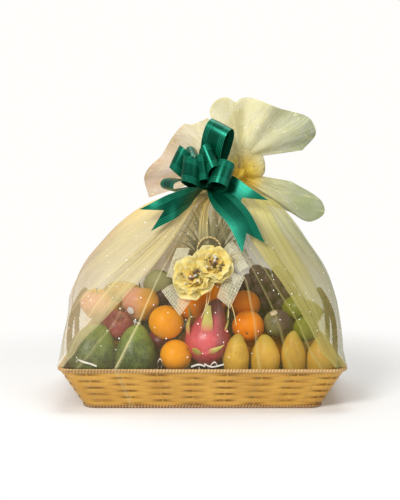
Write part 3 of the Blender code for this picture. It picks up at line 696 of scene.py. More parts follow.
class Finish:
    """A node tree that is being filled: each method adds a node and gives back its output."""

    def __init__(self, tree, material=None):
        self.tree = tree
        self.material = material
        self.shader = material.node_tree.nodes["Principled BSDF"].inputs if material else None

    def add(self, kind, inputs=None, output=0, **settings):
        """Adds a node with its settings and inputs, each a plain value or another node's output."""
        node = self.tree.nodes.new(kind)
        for name, value in settings.items():
            setattr(node, name, value)
        for name, value in (inputs or {}).items():
            if isinstance(value, bpy.types.NodeSocket):
                self.tree.links.new(value, node.inputs[name])
            else:
                node.inputs[name].default_value = value
        return node.outputs[output]

    def group(self, tree, inputs):
        return self.add("ShaderNodeGroup", inputs, node_tree=tree)

    def place(self):
        return self.add("ShaderNodeTexCoord", output="Object")

    def own(self):
        return self.add("ShaderNodeAttribute", attribute_name="own", output="Vector")

    def value_of(self, name):
        return self.add("ShaderNodeAttribute", attribute_name=name, output="Fac")

    def uv(self):
        return self.add("ShaderNodeUVMap", uv_map="UVMap")

    def stretch(self, vector, scale):
        return self.add("ShaderNodeMapping", {"Vector": vector, "Scale": scale})

    def part(self, vector, axis):
        return self.add("ShaderNodeSeparateXYZ", {"Vector": vector}, output=axis)

    def length(self, vector):
        return self.add("ShaderNodeVectorMath", {0: vector}, output="Value", operation="LENGTH")

    def noise(self, vector, scale, detail=3.0, distortion=0.0):
        inputs = {"Vector": vector, "Scale": scale, "Detail": detail, "Distortion": distortion}
        return self.add("ShaderNodeTexNoise", inputs, output="Fac")

    def cells(self, vector, scale, output="Distance", feature="F1", evenness=1.0):
        inputs = {"Vector": vector, "Scale": scale, "Randomness": evenness}
        return self.add("ShaderNodeTexVoronoi", inputs, output, feature=feature)

    def span(self, value, low, high, start=0.0, end=1.0):
        """Carries a value from one span to another, smoothly and without going past it."""
        inputs = {"Value": value, "From Min": low, "From Max": high, "To Min": start, "To Max": end}
        return self.add("ShaderNodeMapRange", inputs, interpolation_type="SMOOTHSTEP")

    def calc(self, operation, first, second=0.0, third=0.0, clamp=False):
        inputs = {0: first, 1: second, 2: third}
        return self.add("ShaderNodeMath", inputs, operation=operation, use_clamp=clamp)

    def times(self, first, second, plus=0.0, clamp=False):
        """Multiplies two values, and adds a third."""
        return self.calc("MULTIPLY_ADD", first, second, plus, clamp)

    def blend(self, first, second, share):
        """Mixes two colours, each a plain one or another node's output."""
        ends = [(*colour, 1.0) if isinstance(colour, tuple) else colour for colour in (first, second)]
        return self.add("ShaderNodeMix", {0: share, 6: ends[0], 7: ends[1]}, output=2, data_type="RGBA")

    def tint(self, colour, other, value, low, high, start=0.0, end=1.0):
        """Turns a colour into another as a value passes from low to high."""
        return self.blend(colour, other, self.span(value, low, high, start, end))

    def mottle(self, scale, dark, light, contrast):
        """Uneven clouds of two colours."""
        return self.group(MOTTLE, {
            "Vector": self.place(), "Scale": scale, "Dark": (*dark, 1), "Light": (*light, 1),
            "Contrast": contrast,
        })


def new_group(name, inputs, output):
    """An empty shader group: its nodes to fill, its inputs, and its one output's socket."""
    kinds = {"Vector": "Vector", "Dark": "Color", "Light": "Color", "Colour": "Color"}
    tree = bpy.data.node_groups.new(name, "ShaderNodeTree")
    for socket, way in [(socket, "INPUT") for socket in inputs] + [(output, "OUTPUT")]:
        tree.interface.new_socket(socket, in_out=way, socket_type="NodeSocket" + kinds.get(socket, "Float"))
    given = tree.nodes.new("NodeGroupInput").outputs
    taken = tree.nodes.new("NodeGroupOutput").inputs
    return Finish(tree), given, taken[output]


def mottle_group():
    """Uneven colour: soft clouds broken by finer ones."""
    nodes, given, taken = new_group("mottle", ("Vector", "Scale", "Dark", "Light", "Contrast"), "Colour")
    coarse = nodes.noise(given["Vector"], given["Scale"], 2.0)
    fine = nodes.noise(given["Vector"], nodes.times(given["Scale"], 5.0), 4.0)
    both = nodes.times(fine, 0.35, nodes.times(coarse, 0.65))
    mask = nodes.times(nodes.calc("SUBTRACT", both, 0.5), given["Contrast"], 0.5, clamp=True)
    nodes.tree.links.new(nodes.blend(given["Dark"], given["Light"], mask), taken)
    return nodes.tree


def pores_group():
    """Skin pores: the height of small round pits."""
    nodes, given, taken = new_group("pores", ("Vector", "Scale", "Width"), "Height")
    pits = nodes.cells(given["Vector"], given["Scale"])
    height = nodes.calc("MINIMUM", nodes.calc("DIVIDE", pits, given["Width"]), 1.0)
    swell = nodes.noise(given["Vector"], nodes.times(given["Scale"], 0.3), 2.0)
    nodes.tree.links.new(nodes.times(swell, 0.6, height), taken)
    return nodes.tree


def flecks_group():
    """Small scattered flecks: 1 on a fleck and 0 between them."""
    nodes, given, taken = new_group("flecks", ("Vector", "Scale", "Size", "Share"), "Mask")
    near = nodes.calc("LESS_THAN", nodes.cells(given["Vector"], given["Scale"]), given["Size"])
    drawn = nodes.part(nodes.cells(given["Vector"], given["Scale"], "Color"), "X")
    nodes.tree.links.new(nodes.times(near, nodes.calc("LESS_THAN", drawn, given["Share"])), taken)
    return nodes.tree


def strands_group():
    """Streaks that run along V of a UV map."""
    nodes, given, taken = new_group("strands", ("Vector", "Across", "Along"), "Mask")
    scale = nodes.add("ShaderNodeCombineXYZ", {"X": given["Across"], "Y": given["Along"], "Z": 1.0})
    spread = nodes.add("ShaderNodeVectorMath", {0: given["Vector"], 1: scale}, operation="MULTIPLY")
    both = nodes.times(nodes.noise(spread, 3.7, 3.0), 0.4, nodes.times(nodes.noise(spread, 1.0, 4.0), 0.6))
    nodes.tree.links.new(nodes.span(both, 0.32, 0.68), taken)
    return nodes.tree


MOTTLE = mottle_group()
PORES = pores_group()
FLECKS = flecks_group()
STRANDS = strands_group()


def new_finish(name, roughness, coat=0.0, coat_roughness=0.1, sheen=0.0, specular=0.5):
    """A new material's set of nodes, with its Principled shader set."""
    material = bpy.data.materials.new(name)
    material.use_nodes = True
    nodes = Finish(material.node_tree, material)
    nodes.shader["Roughness"].default_value = roughness
    nodes.shader["Coat Weight"].default_value = coat
    nodes.shader["Coat Roughness"].default_value = coat_roughness
    nodes.shader["Sheen Weight"].default_value = sheen
    nodes.shader["Specular IOR Level"].default_value = specular
    return nodes


def wire(nodes, colour, height=None, bump=0.3, depth=0.001, roughness=None, alpha=None):
    """Joins colour, bump height, roughness and alpha to the shader, and gives back the material."""
    normal = None
    if height is not None:
        normal = nodes.add("ShaderNodeBump", {"Strength": bump, "Distance": depth, "Height": height})
    joined = {"Base Color": colour, "Normal": normal, "Roughness": roughness, "Alpha": alpha}
    for socket, value in joined.items():
        if value is not None:
            nodes.tree.links.new(value, nodes.shader[socket])
    return nodes.material


def toned_material(name, roughness, dark, light, scale, detail=3.0, bump=0.3, depth=0.0004, stretch=None,
                   coat=0.0):
    """A plain finish: two tones in uneven clouds, with a fine relief of the same pattern."""
    nodes = new_finish(name, roughness, coat=coat)
    place = nodes.place() if stretch is None else nodes.stretch(nodes.place(), stretch)
    tone = nodes.noise(place, scale, detail)
    return wire(nodes, nodes.blend(dark, light, tone), tone, bump, depth)


def two_kinds_material(name, roughness, coat, first, second, scale, detail, bump, depth):
    """A finish for two kinds of piece, each with a dark and a light tone, told apart by the strand value."""
    nodes = new_finish(name, roughness, coat=coat)
    tone = nodes.noise(nodes.place(), scale, detail)
    kinds = [nodes.blend(*tones, tone) for tones in (first, second)]
    return wire(nodes, nodes.blend(*kinds, nodes.value_of("strand")), tone, bump, depth)


def basket_half_sizes(height):
    """Half width, half depth and corner radius of the middle of the basket's wall at a height."""
    share = (height - FOOT_ROPE_RADIUS) / (RIM_ROPE_HEIGHT - FOOT_ROPE_RADIUS)
    return (
        mix(FOOT_HALF_WIDTH, RIM_HALF_WIDTH, share),
        mix(FOOT_HALF_DEPTH, RIM_HALF_DEPTH, share),
        mix(FOOT_CORNER_RADIUS, RIM_CORNER_RADIUS, share),
    )


def basket_point(share, height, outward=0.0):
    """A point at a share of the way round the basket's wall, a step outward of its middle."""
    middle_width, middle_depth, middle_radius = basket_half_sizes(RIM_ROPE_HEIGHT / 2)
    half_width, half_depth, radius = basket_half_sizes(height)
    corner = pi / 2 * middle_radius
    long_side = 2 * (middle_width - middle_radius)
    short_side = 2 * (middle_depth - middle_radius)
    flat_x, flat_y = half_width - radius, half_depth - radius
    way = share % 1.0 * (4 * corner + 2 * long_side + 2 * short_side)
    corners = ((flat_x, flat_y), (-flat_x, flat_y), (-flat_x, -flat_y), (flat_x, -flat_y))
    reach = radius + outward
    for number, side in enumerate((long_side, short_side, long_side, short_side)):
        x, y = corners[number]
        if way < corner:
            turn = pi / 2 * (number + way / corner)
            return Vector((x + reach * cos(turn), y + reach * sin(turn), height))
        way -= corner
        if way < side:
            turn = pi / 2 * (number + 1)
            next_x, next_y = corners[(number + 1) % 4]
            return Vector((
                mix(x, next_x, way / side) + reach * cos(turn),
                mix(y, next_y, way / side) + reach * sin(turn),
                height,
            ))
        way -= side
    return Vector((corners[0][0] + reach, corners[0][1], height))


def make_strip(row, height, half_height):
    """One flat cane of the weave: over one stake and behind the next, all the way round."""
    rows = [[], [], [], []]
    depth = [[], [], [], []]
    for column in range(STRIP_COLUMNS):
        share = column / STRIP_COLUMNS
        swing = cos(pi * (share * STAKES + row))
        outness = 0.5 + 0.5 * swing
        uneven = 0.0003 * noise.noise((share * 90, row * 3.1, 0.5))
        tall = half_height * mix(0.80, 1.22, outness) + uneven
        for line, lift in enumerate((-1.0, -0.45, 0.45, 1.0)):
            crown = 0.0005 * (1 - lift * lift)
            out = WEAVE_SWING * swing + crown
            rows[line].append(basket_point(share, height + lift * tall, out))
            depth[line].append(1 - outness)
    strip = cloth(f"strip_{row}", rows, around=True)
    # How far behind the stakes each point lies; the cane finish paints shade from this value.
    store_value(strip, "behind", [value for line in depth for value in line])
    with editing(strip):
        face_outwards()
    finish_modifier(strip, "SOLIDIFY", thickness=0.0007, offset=-1.0)
    return strip


def make_stake(number):
    """One upright of the weave, a narrow flat cane from the foot to the rim."""
    share = number / STAKES
    half = STAKE_WIDTH / 2 / 1.82
    rows = []
    for step in range(7):
        height = mix(FOOT_ROPE_RADIUS, RIM_ROPE_HEIGHT, step / 6)
        rows.append([basket_point(share + side * half, height, 0.0004) for side in (-1, -0.4, 0.4, 1)])
    stake = cloth(f"stake_{number}", rows)
    finish_modifier(stake, "SOLIDIFY", thickness=0.0009, offset=0.0)
    return stake


def rope_line(height, reach, phase):
    """One strand of a border rope: a coil along the basket's edge."""
    half_width, half_depth, radius = basket_half_sizes(height)
    length = 4 * (half_width + half_depth) - 8 * radius + 2 * pi * radius
    twists = round(length / ROPE_TWIST)
    points = []
    for step in range(twists * 8):
        turn = 2 * pi * (step / 8) + phase
        share = step / (twists * 8)
        points.append(basket_point(share, height + reach * sin(turn), reach * cos(turn)))
    return points


def make_rope(name, height, radius, material):
    """A border rope of two strands laid round each other."""
    strands = []
    for number in range(2):
        line = rope_line(height, radius * 0.46, pi * number)
        strand = tube(f"{name}_{number}", line, radius * 0.56, 6, closed=True)
        mark(strand, "strand", float(number))
        strands.append(strand)
    rope = join(strands, name)
    dress(rope, material, smooth=80)
    return rope


def cane_material():
    """Split cane: golden, streaked along its length, with painted shade where it passes behind a stake."""
    nodes = new_finish("split_cane", 0.45, coat=0.10, coat_roughness=0.3, specular=0.35)
    uv = nodes.uv()
    along = nodes.group(STRANDS, {"Vector": uv, "Across": 34.0, "Along": 5.0})
    clouds = nodes.mottle(16.0, (0.47, 0.235, 0.032), (0.66, 0.37, 0.062), 2.2)
    grain = nodes.noise(nodes.stretch(uv, (60.0, 9.0, 1.0)), 3.0, 4.0)
    streaked = nodes.tint(clouds, (0.36, 0.17, 0.035), grain, 0.52, 0.78, 0.0, 0.55)
    # Where the cane lies behind a stake it is painted dark brown in the shape of a lens: painted shade in
    # the recess. The stakes get the same painted shade.
    from_middle = nodes.calc("ABSOLUTE", nodes.times(nodes.part(uv, "Y"), 2.0, -1.0))
    narrowed = nodes.calc("SUBTRACT", nodes.value_of("behind"), nodes.times(from_middle, 0.85))
    lens = nodes.times(nodes.span(narrowed, 0.45, 0.85), nodes.span(along, 0.0, 0.9, 0.75, 1.0))
    uneven = nodes.span(nodes.noise(nodes.place(), 30.0, 1.0), 0.36, 0.62, 0.30, 1.0)
    colour = nodes.blend(streaked, (0.17, 0.065, 0.012), nodes.times(lens, uneven))
    return wire(nodes, colour, grain, 0.25, 0.0006, roughness=nodes.span(grain, 0.2, 0.8, 0.36, 0.58))


def floor_material():
    """The tray's floor: cane plaited over and under."""
    nodes = new_finish("plaited_floor", 0.6)
    place = nodes.place()
    across, along = (nodes.calc("SINE", nodes.times(nodes.part(place, axis), 420.0)) for axis in "XY")
    plait = nodes.span(nodes.times(across, along), -0.6, 0.6)
    return wire(nodes, nodes.blend((0.20, 0.09, 0.02), (0.55, 0.30, 0.08), plait), plait, 0.6, 0.002)


def rope_material(name, pale, brown):
    """Strands of different colour, each with fine fibres."""
    nodes = new_finish(name, 0.6)
    fibres = nodes.noise(nodes.stretch(nodes.uv(), (4.0, 900.0, 1.0)), 2.0, 3.0)
    twist = nodes.blend(pale, brown, nodes.value_of("strand"))
    colour = nodes.tint(twist, (0.16, 0.07, 0.02), fibres, 0.5, 0.8, 0.0, 0.5)
    return wire(nodes, colour, fibres, 0.4, 0.0008)


def make_weave(cane):
    """The wall: canes woven one above the other round the stakes."""
    low, high = 2 * FOOT_ROPE_RADIUS, RIM_ROPE_HEIGHT - RIM_ROPE_RADIUS
    half_height = (high - low) / WEAVE_ROWS / 2
    strips = [make_strip(row, low + half_height * (2 * row + 1), half_height) for row in range(WEAVE_ROWS)]
    wall = join(strips, "basket_weave")
    dress(wall, cane, smooth=60)
    return wall


def make_stakes(cane):
    """The uprights that the canes are woven round."""
    stakes = join([make_stake(number) for number in range(STAKES)], "basket_stakes")
    # A fixed behind value makes the cane finish paint the stakes partly dark: painted shade between the
    # canes.
    mark(stakes, "behind", 0.72)
    dress(stakes, cane)
    return stakes


def make_lining():
    """A thin dark lining against the inside of the weave."""
    rows = []
    for height in LINING_HEIGHTS:
        rows.append([basket_point(step / 120, height, -LINING_INSET) for step in range(120)])
    lining = cloth("basket_lining", rows, around=True)
    finish_modifier(lining, "SOLIDIFY", thickness=0.0008, offset=-1.0)
    dress(lining, toned_material("basket_inside", 0.7, (0.11, 0.05, 0.015), (0.27, 0.14, 0.04), 3.0,
                                 bump=0.4, depth=0.001, stretch=(20, 20, 160)), smooth=50)
    return lining


def make_floor():
    """The tray's floor: a plate with rounded corners, a little clear of the ground."""
    half_width, half_depth = FOOT_HALF_WIDTH - FLOOR_INSET, FOOT_HALF_DEPTH - FLOOR_INSET
    plate = sheet("basket_floor", 2 * half_width, 2 * half_depth, 1, 1)
    with editing(plate):
        bpy.ops.mesh.select_all(action="SELECT")
        bpy.ops.mesh.extrude_region_move(TRANSFORM_OT_translate={"value": (0, 0, FLOOR_THICKNESS)})
        face_outwards()
        shift_all((0, 0, FLOOR_LIFT))
        pick(plate, lambda way: abs(way.z) > 0.99, "EDGE")
        bpy.ops.mesh.bevel(offset=FOOT_CORNER_RADIUS, segments=8)
    dress(plate, floor_material(), smooth=40)
    return plate


def make_basket():
    """The woven tray: canes round stakes, a lining, a floor and two border ropes."""
    cane = cane_material()
    pieces = [make_weave(cane), make_stakes(cane), make_lining(), make_floor()]
    pieces.append(make_rope("rim_rope", RIM_ROPE_HEIGHT, RIM_ROPE_RADIUS,
                            rope_material("rim_twist", (0.70, 0.46, 0.20), (0.44, 0.24, 0.08))))
    pieces.append(make_rope("foot_rope", FOOT_ROPE_RADIUS, FOOT_ROPE_RADIUS,
                            rope_material("foot_twist", (0.55, 0.32, 0.12), (0.16, 0.07, 0.025))))
    for piece in pieces:
        stand_for(piece, "basket")


def fold_turn(fold, height):
    """A fold's turn in degrees at a height."""
    turns = fold[3]
    height = min(max(height, turns[0][0]), turns[-1][0] - 1e-6)
    return curve_value(turns, height)[0]


def turn_between(number, share_on, height):
    """The turn in degrees, at a height, of a place that is a share of the way from one fold to the next."""
    last = number + 1 == len(FOLDS)
    high = fold_turn(FOLDS[0 if last else number + 1], height) + (360 if last else 0)
    return mix(fold_turn(FOLDS[number], height), high, share_on)


def net_columns():
    """Each column of the net: its fold, its share of the way to the next one, and its share of the net."""
    total = sum(fold[2] for fold in FOLDS)
    columns = []
    for number, fold in enumerate(FOLDS):
        for step in range(fold[2]):
            columns.append((number, step / fold[2], len(columns) / total))
    return columns


def net_heights():
    """Heights of the net's rows above the rim, evenly far apart along its slope."""
    fine = [mix(0.0975, NET_TOP, step / 600) for step in range(601)]
    way = [0.0]
    for low, high in zip(fine, fine[1:]):
        low_width = curve_value(NET_STATIONS, low)[1]
        high_width = curve_value(NET_STATIONS, min(high, NET_TOP - 0.0001))[1]
        way.append(way[-1] + hypot(high - low, high_width - low_width))
    heights = []
    for row in range(NET_ROWS):
        goal = way[-1] * row / (NET_ROWS - 1)
        number = min(next((i for i, value in enumerate(way) if value >= goal), 600), 600)
        heights.append(min(fine[number], NET_TOP - 0.0001))
    return heights


def pleat(share, height):
    """How far the net stands out at a place round it: fine folds that deepen towards the tie."""
    swing = 0.0
    for number, size, shift in PLEATS:
        swing += size * cos(2 * pi * number * share + shift + 1.3 * sin(7 * share * number / 19))
    return swing * curve_value(PLEAT_DEPTHS, min(max(height, 0.081), 0.539))[0]


def polar_basket(turn, height, outward):
    """A point on the rounded oblong round the basket in the direction of a turn."""
    half_width, half_depth, radius = basket_half_sizes(height)
    x, y = super_ellipse(turn, half_width + outward, half_depth + outward, 60)
    flat_x, flat_y = half_width - radius, half_depth - radius
    if abs(x) > flat_x and abs(y) > flat_y:
        cosine, sine = abs(cos(turn)), abs(sin(turn))
        reach = radius + outward
        along = cosine * flat_x + sine * flat_y
        distance = along + sqrt(max(along**2 - flat_x**2 - flat_y**2 + reach**2, 0.0))
        return distance * cos(turn), distance * sin(turn)
    return x, y


def net_cover(number, share_on, height, share):
    """The share of net that covers what is behind it: more in the doubled bands and near the tie."""
    fold = FOLDS[number]
    step = share_on * fold[2]
    line = fold[1] * max(1 - step / 1.6, 0.0)
    cover = fold[0] + line
    if fold[0] > 0.2:
        cover *= mix(0.50 if number in BACK_FOLDS else 0.72, 1.08, smooth_step(0.10, 0.36, height))
    else:
        cover = mix(cover, 0.66 if number == DOUBLED_STRIP else 0.24, smooth_step(0.32, 0.41, height))
    gather = smooth_step(0.425, 0.470, height)
    streak = 0.5 + 0.5 * noise.noise((share * 160, height * 3, 2.0))
    cover = mix(cover, mix(0.55, 0.98, streak), gather)
    if height < 0.094:
        cover = 0.02 + 0.45 * line
    return min(cover, 0.97)


def make_tent():
    """The bag of net: up the basket's outside from its foot, over the fruit to the tie and open above it."""
    columns = net_columns()
    rows, cover, gold = [], [], []
    for height, outward in NET_OUTSIDE:
        row = []
        for number, share_on, share in columns:
            turn = radians(turn_between(number, share_on, LOW_FOLD_HEIGHT))
            row.append((*polar_basket(turn, height, outward), height))
            cover.append(net_cover(number, share_on, height, share))
            gold.append(0.0)
        rows.append(row)
    for height in net_heights():
        middle, half_width, half_depth, exponent = curve_value(NET_STATIONS, height)
        gathered = smooth_step(0.452, 0.466, height)
        near_rim = 1 - smooth_step(0.096, 0.125, height)
        row = []
        for number, share_on, share in columns:
            turn = radians(mix(turn_between(number, share_on, height), 360 * share, gathered))
            x, y = super_ellipse(turn, half_width, half_depth, exponent)
            rim_x, rim_y = polar_basket(turn, RIM_ROPE_HEIGHT, RIM_ROPE_RADIUS - 0.0025)
            x, y = mix(x, rim_x, near_rim), mix(y, rim_y, near_rim)
            overlap = 0.0016 if FOLDS[number][0] > 0.2 and height < 0.45 else 0.0
            out = 1 + (pleat(share, height) + overlap * min(share_on * 8, 1.0)) / hypot(x, y)
            row.append((middle + x * out, y * out, height))
            cover.append(net_cover(number, share_on, height, share))
            near = 1 - smooth_step(0.010, 0.075, (Vector(row[-1]) - GOLD_HEART).length)
            gold.append(max(near, 0.50 * smooth_step(0.35, 0.46, height)))
        rows.append(row)
    return net_piece("net_tent", rows, cover, gold, 0.0)


def net_piece(name, rows, cover, gold, loose):
    """A piece of net through rows of points, with what its finish needs to know at each of them."""
    piece = cloth(name, rows, around=True)
    store_value(piece, "cover", cover)
    store_value(piece, "gold", gold)
    mark(piece, "loose", loose)
    return piece


def make_ear(name, root, edge, ripples, ripple_depth, thickness, facing, root_cover, edge_cover):
    """One folded ear of net: two billowing layers that fan out from its root and join at their edge."""
    path, length = path_by_length(edge)
    root, facing = Vector(root), Vector(facing)
    seed = 10.0 * len(name)
    across_steps, along_steps = 76, 26
    rows, cover, gold = [], [], []
    for along in range(along_steps + 1):
        share = along / along_steps
        swell = sin(pi * min(0.10 + 0.80 * share, 1.0)) if share < 1 else 0.0
        front, back = [], []
        for across in range(across_steps + 1):
            side = across / across_steps
            tip = Vector(curve_value(path, min(side * length, length - 1e-6)))
            middle = root.lerp(tip, mix(0.04, 1.0, share))
            middle += facing * (ripple_depth * share * sin(2 * pi * ripples * side))
            rounding = sqrt(max(1 - (2 * side - 1) ** 4, 0.0))
            half = thickness / 2 * rounding * swell
            for sign, layer in ((-1, front), (1, back)):
                crinkle = noise.noise((side * 6 + 1.4 * share + seed, share * 2.4 - side, sign * 3.0))
                crinkle += 0.5 * noise.noise((side * 15 - 2.0 * share + seed, share * 3.4, sign * 7.0))
                depth = 0.0100 * share ** 0.6 * rounding * (1 - 0.45 * share)
                layer.append(middle + facing * (sign * half + crinkle * depth))
        rows.append(front + list(reversed(back)))
        for number, point in enumerate(rows[-1]):
            side = number / (2 * (across_steps + 1))
            streak = noise.noise((side * 14 + 1.5 * share + seed, share * 2.2, 5.0))
            thin = mix(root_cover, edge_cover, smooth_step(0.05, 0.75, share))
            near = 1 - smooth_step(0.010, 0.080, (point - GOLD_HEART).length)
            rim = 0.10 * smooth_step(0.95, 1.0, share)
            cover.append(min(max(thin * (1 + 0.28 * streak) + 0.25 * near + rim, 0.06), 0.93))
            gold.append(near)
    return net_piece(f"net_ear_{name}", rows, cover, gold, 1.0)


def net_material():
    """Sheer stiff net: pale yellow where it is single, golden where it is bunched, with soft folds."""
    nodes = new_finish("sheer_net", 0.8, specular=0.2)
    cover = nodes.value_of("cover")
    loose = nodes.span(nodes.value_of("loose"), 0.0, 1.0, 0.15, 1.0)
    uv, place = nodes.uv(), nodes.place()
    streaks = nodes.group(STRANDS, {"Vector": uv, "Across": 170.0, "Along": 3.5})
    folds = nodes.noise(nodes.stretch(uv, (30.0, 1.5, 1.0)), 1.0, 1.0, 1.1)
    crest = nodes.span(nodes.calc("ABSOLUTE", nodes.calc("SUBTRACT", folds, 0.5)), 0.0, 0.035, 1.0, 0.0)
    crest = nodes.times(crest, loose)
    holes = nodes.cells(place, 620.0, feature="DISTANCE_TO_EDGE", evenness=0.6)
    threads = nodes.span(holes, 0.05, 0.28, 1.18, 0.86)
    clouds = nodes.noise(place, 17.0, 2.0, 1.4)
    unevenness = nodes.times(nodes.span(clouds, 0.3, 0.7, -0.18, 0.18), loose)
    broad = nodes.times(nodes.span(folds, 0.3, 0.7, 0.90, 1.10), nodes.span(streaks, 0.0, 1.0, 0.94, 1.05))
    broad = nodes.times(broad, nodes.calc("ADD", unevenness, 1.0))
    alpha = nodes.times(nodes.times(crest, 0.16, nodes.times(cover, broad)), threads, clamp=True)

    # Colours by place, across in X and from front to back in Y, are partly painted shade: the back wall of
    # the net, which lies in the shade of the fruit, has its own tones, and towards the right the front, back
    # and ears are all painted darker and greener.
    across = nodes.part(place, "X")
    front = nodes.tint((0.80, 0.70, 0.37), (0.74, 0.58, 0.20), cover, 0.25, 0.95, 0.0, 0.75)
    front = nodes.tint(front, (0.70, 0.50, 0.33), across, -0.27, -0.17, 0.35, 0.0)
    front = nodes.tint(front, (0.36, 0.32, 0.09), across, 0.02, 0.17, 0.0, 0.9)
    back = nodes.tint((0.64, 0.45, 0.23), (0.95, 0.76, 0.35), across, -0.26, -0.08)
    back = nodes.tint(back, (0.92, 0.84, 0.36), across, -0.10, 0.0)
    back = nodes.tint(back, (0.74, 0.77, 0.34), across, 0.0, 0.12)
    back = nodes.tint(back, (0.44, 0.46, 0.20), across, 0.12, 0.26)
    ears = nodes.tint((0.62, 0.43, 0.25), (0.76, 0.70, 0.38), across, -0.12, 0.04)
    ears = nodes.tint(ears, (0.37, 0.41, 0.20), across, 0.09, 0.25)
    back = nodes.blend(back, ears, nodes.value_of("loose"))
    colour = nodes.tint(front, back, nodes.part(place, "Y"), -0.12, -0.02)
    # Fold crests are painted paler, a painted highlight along the folds, on top of the extra opacity that
    # the crests add to the alpha.
    colour = nodes.blend(colour, (0.84, 0.78, 0.46), nodes.times(crest, 0.5))
    colour = nodes.tint(colour, (0.84, 0.56, 0.045), nodes.value_of("gold"), 0.05, 1.0, 0.0, 0.92)
    return wire(nodes, colour, nodes.times(folds, 2.0, streaks), 0.12, 0.001, alpha=alpha)


def make_net():
    """The net wrap as one sheet: the bag and the ears above its tie."""
    net = join([make_tent(), *(make_ear(name, *ear) for name, ear in EARS.items())], "net_wrap")
    dress(net, net_material(), smooth=70)
    stand_for(net, "wrap")
    dots = make_dots(net)


def skin_material(name, dark, light, contrast=2.0, scale=40.0, roughness=0.42, coat=0.075, specular=0.30,
                  pores=(900.0, 0.3, 0.0004), ripe=None, tint=None, flecks=None):
    """The skin of one kind of fruit: mottled, with riper patches, a tint towards one side, flecks and pores.

    Pores have a scale, a bump and a depth. A tint has its colour, the axis that it runs along, and where it
    starts and ends. Flecks have their colour, size, share and scale.
    """
    nodes = new_finish(name, roughness, coat=coat, coat_roughness=0.3, specular=specular)
    place = nodes.place()
    colour = nodes.mottle(scale, dark, light, contrast)
    if ripe:
        colour = nodes.tint(colour, ripe, nodes.noise(place, 11.0, 1.0), 0.40, 0.62, 0.0, 0.85)
    if tint:
        tint_colour, axis, begin, end = tint
        uneven = nodes.times(nodes.noise(place, scale, 3.0), 0.7, nodes.part(nodes.own(), axis))
        colour = nodes.tint(colour, tint_colour, uneven, begin + 0.35, end + 0.35)
    if flecks:
        fleck_colour, size, share, fleck_scale = flecks
        inputs = {"Vector": place, "Scale": fleck_scale, "Size": size, "Share": share}
        colour = nodes.blend(colour, fleck_colour, nodes.times(nodes.group(FLECKS, inputs), 0.75))
    pore_scale, bump, depth = pores
    relief = nodes.group(PORES, {"Vector": place, "Scale": pore_scale, "Width": 0.35})
    return wire(nodes, colour, relief, bump, depth)


def finish_fruit(fruit, stalk, size, skin, stalk_finish):
    """Smooths a fruit and its stalk, keeps their own places, dresses and joins them."""
    for piece, smooth in ((fruit, 80), (stalk, 60)):
        if piece:
            keep_own_place(piece, size)
            dress(piece, skin, stalk_finish, smooth=smooth)
    if not stalk:
        return fruit
    for face in stalk.data.polygons:
        face.material_index = 1
    return join([fruit, stalk], fruit.name)


def star_cap(radius, top, depth, height, sides, every, notch):
    """A small star on top of a fruit: a flat rod with every second or third of its sides drawn in."""
    cap = rod("cap", radius, depth, sides, radius * top)
    with editing(cap):
        pick(cap, lambda p: hypot(p.x, p.y) > radius / 2
             and round(atan2(p.y, p.x) * sides / (2 * pi)) % every == 0)
        bpy.ops.transform.resize(value=(notch, notch, 1.0), center_override=(0, 0, 0))
        shift_all((0, 0, height))
    return cap


def button(radius, height, depth=0.0014):
    """The small star where a stalk has come off."""
    return star_cap(radius, 0.7, depth, height, 10, 2, 0.55)


def model_orange(skin, stalk_finish):
    """An orange 77 mm across: flattened a little, with a dimple and a button at its top."""
    fruit = ball("orange", (0.0385, 0.0385, 0.0370), 44, 28)
    with editing(fruit):
        pull(fruit, lambda p: p.z > 0.0369, (0, 0, -0.0026), 0.012)
        pull(fruit, lambda p: p.z < -0.0369, (0, 0, 0.0016), 0.009)
        pull(fruit, lambda p: p.x > 0.038 and abs(p.z) < 0.004, (0.0008, 0, 0), 0.03)
    return finish_fruit(fruit, button(0.0040, 0.0340), 0.0385, skin, stalk_finish)


def model_apple(name, skin, stalk_finish):
    """An apple: broad shoulders, a deep hollow round its stalk and a shallower one below."""
    fruit = ball(name, (0.0375, 0.0375, 0.0350), 44, 28)
    with editing(fruit):
        pull(fruit, lambda p: p.z > 0.0348, (0, 0, -0.0130), 0.021)
        pull(fruit, lambda p: p.z < -0.0348, (0, 0, 0.0070), 0.015)
        squeeze(fruit, lambda p: p.z < -0.020, (0.84, 0.84, 1.0), (0, 0, -0.024), 0.030)
        for lobe in range(5):
            turn = 2 * pi * lobe / 5
            foot = Vector((0.014 * cos(turn), 0.014 * sin(turn), -0.031))
            pull(fruit, lambda p: (p - foot).length < 0.005, (0, 0, -0.0016), 0.009)
    stalk = rod("stalk", 0.0011, 0.021, 8, 0.0017)
    with editing(stalk):
        bpy.ops.mesh.select_all(action="SELECT")
        bpy.ops.mesh.subdivide(number_cuts=3)
        pull(stalk, lambda p: p.z > 0.020, (0.005, 0.002, 0), 0.020)
        shift_all((0, 0, 0.018))
    return finish_fruit(fruit, stalk, 0.0375, skin, stalk_finish)


def model_mango(skin, stalk_finish):
    """A mango stood on end: egg-shaped, narrower and a little hooked at its upper tip."""
    fruit = ball("mango", (0.0310, 0.0280, 0.0540), 40, 30)
    with editing(fruit):
        squeeze(fruit, lambda p: p.z > 0.044, (0.86, 0.86, 1.0), (0, 0, 0.050), 0.050)
        pull(fruit, lambda p: p.z > 0.0535, (0.0030, 0, 0.0006), 0.026)
        pull(fruit, lambda p: p.x < -0.030 and abs(p.z) < 0.006, (-0.0020, 0, 0), 0.030)
        squeeze(fruit, lambda p: p.z < -0.040, (1.06, 1.06, 1.0), (0, 0, -0.040), 0.030)
    return finish_fruit(fruit, None, 0.054, skin, stalk_finish)


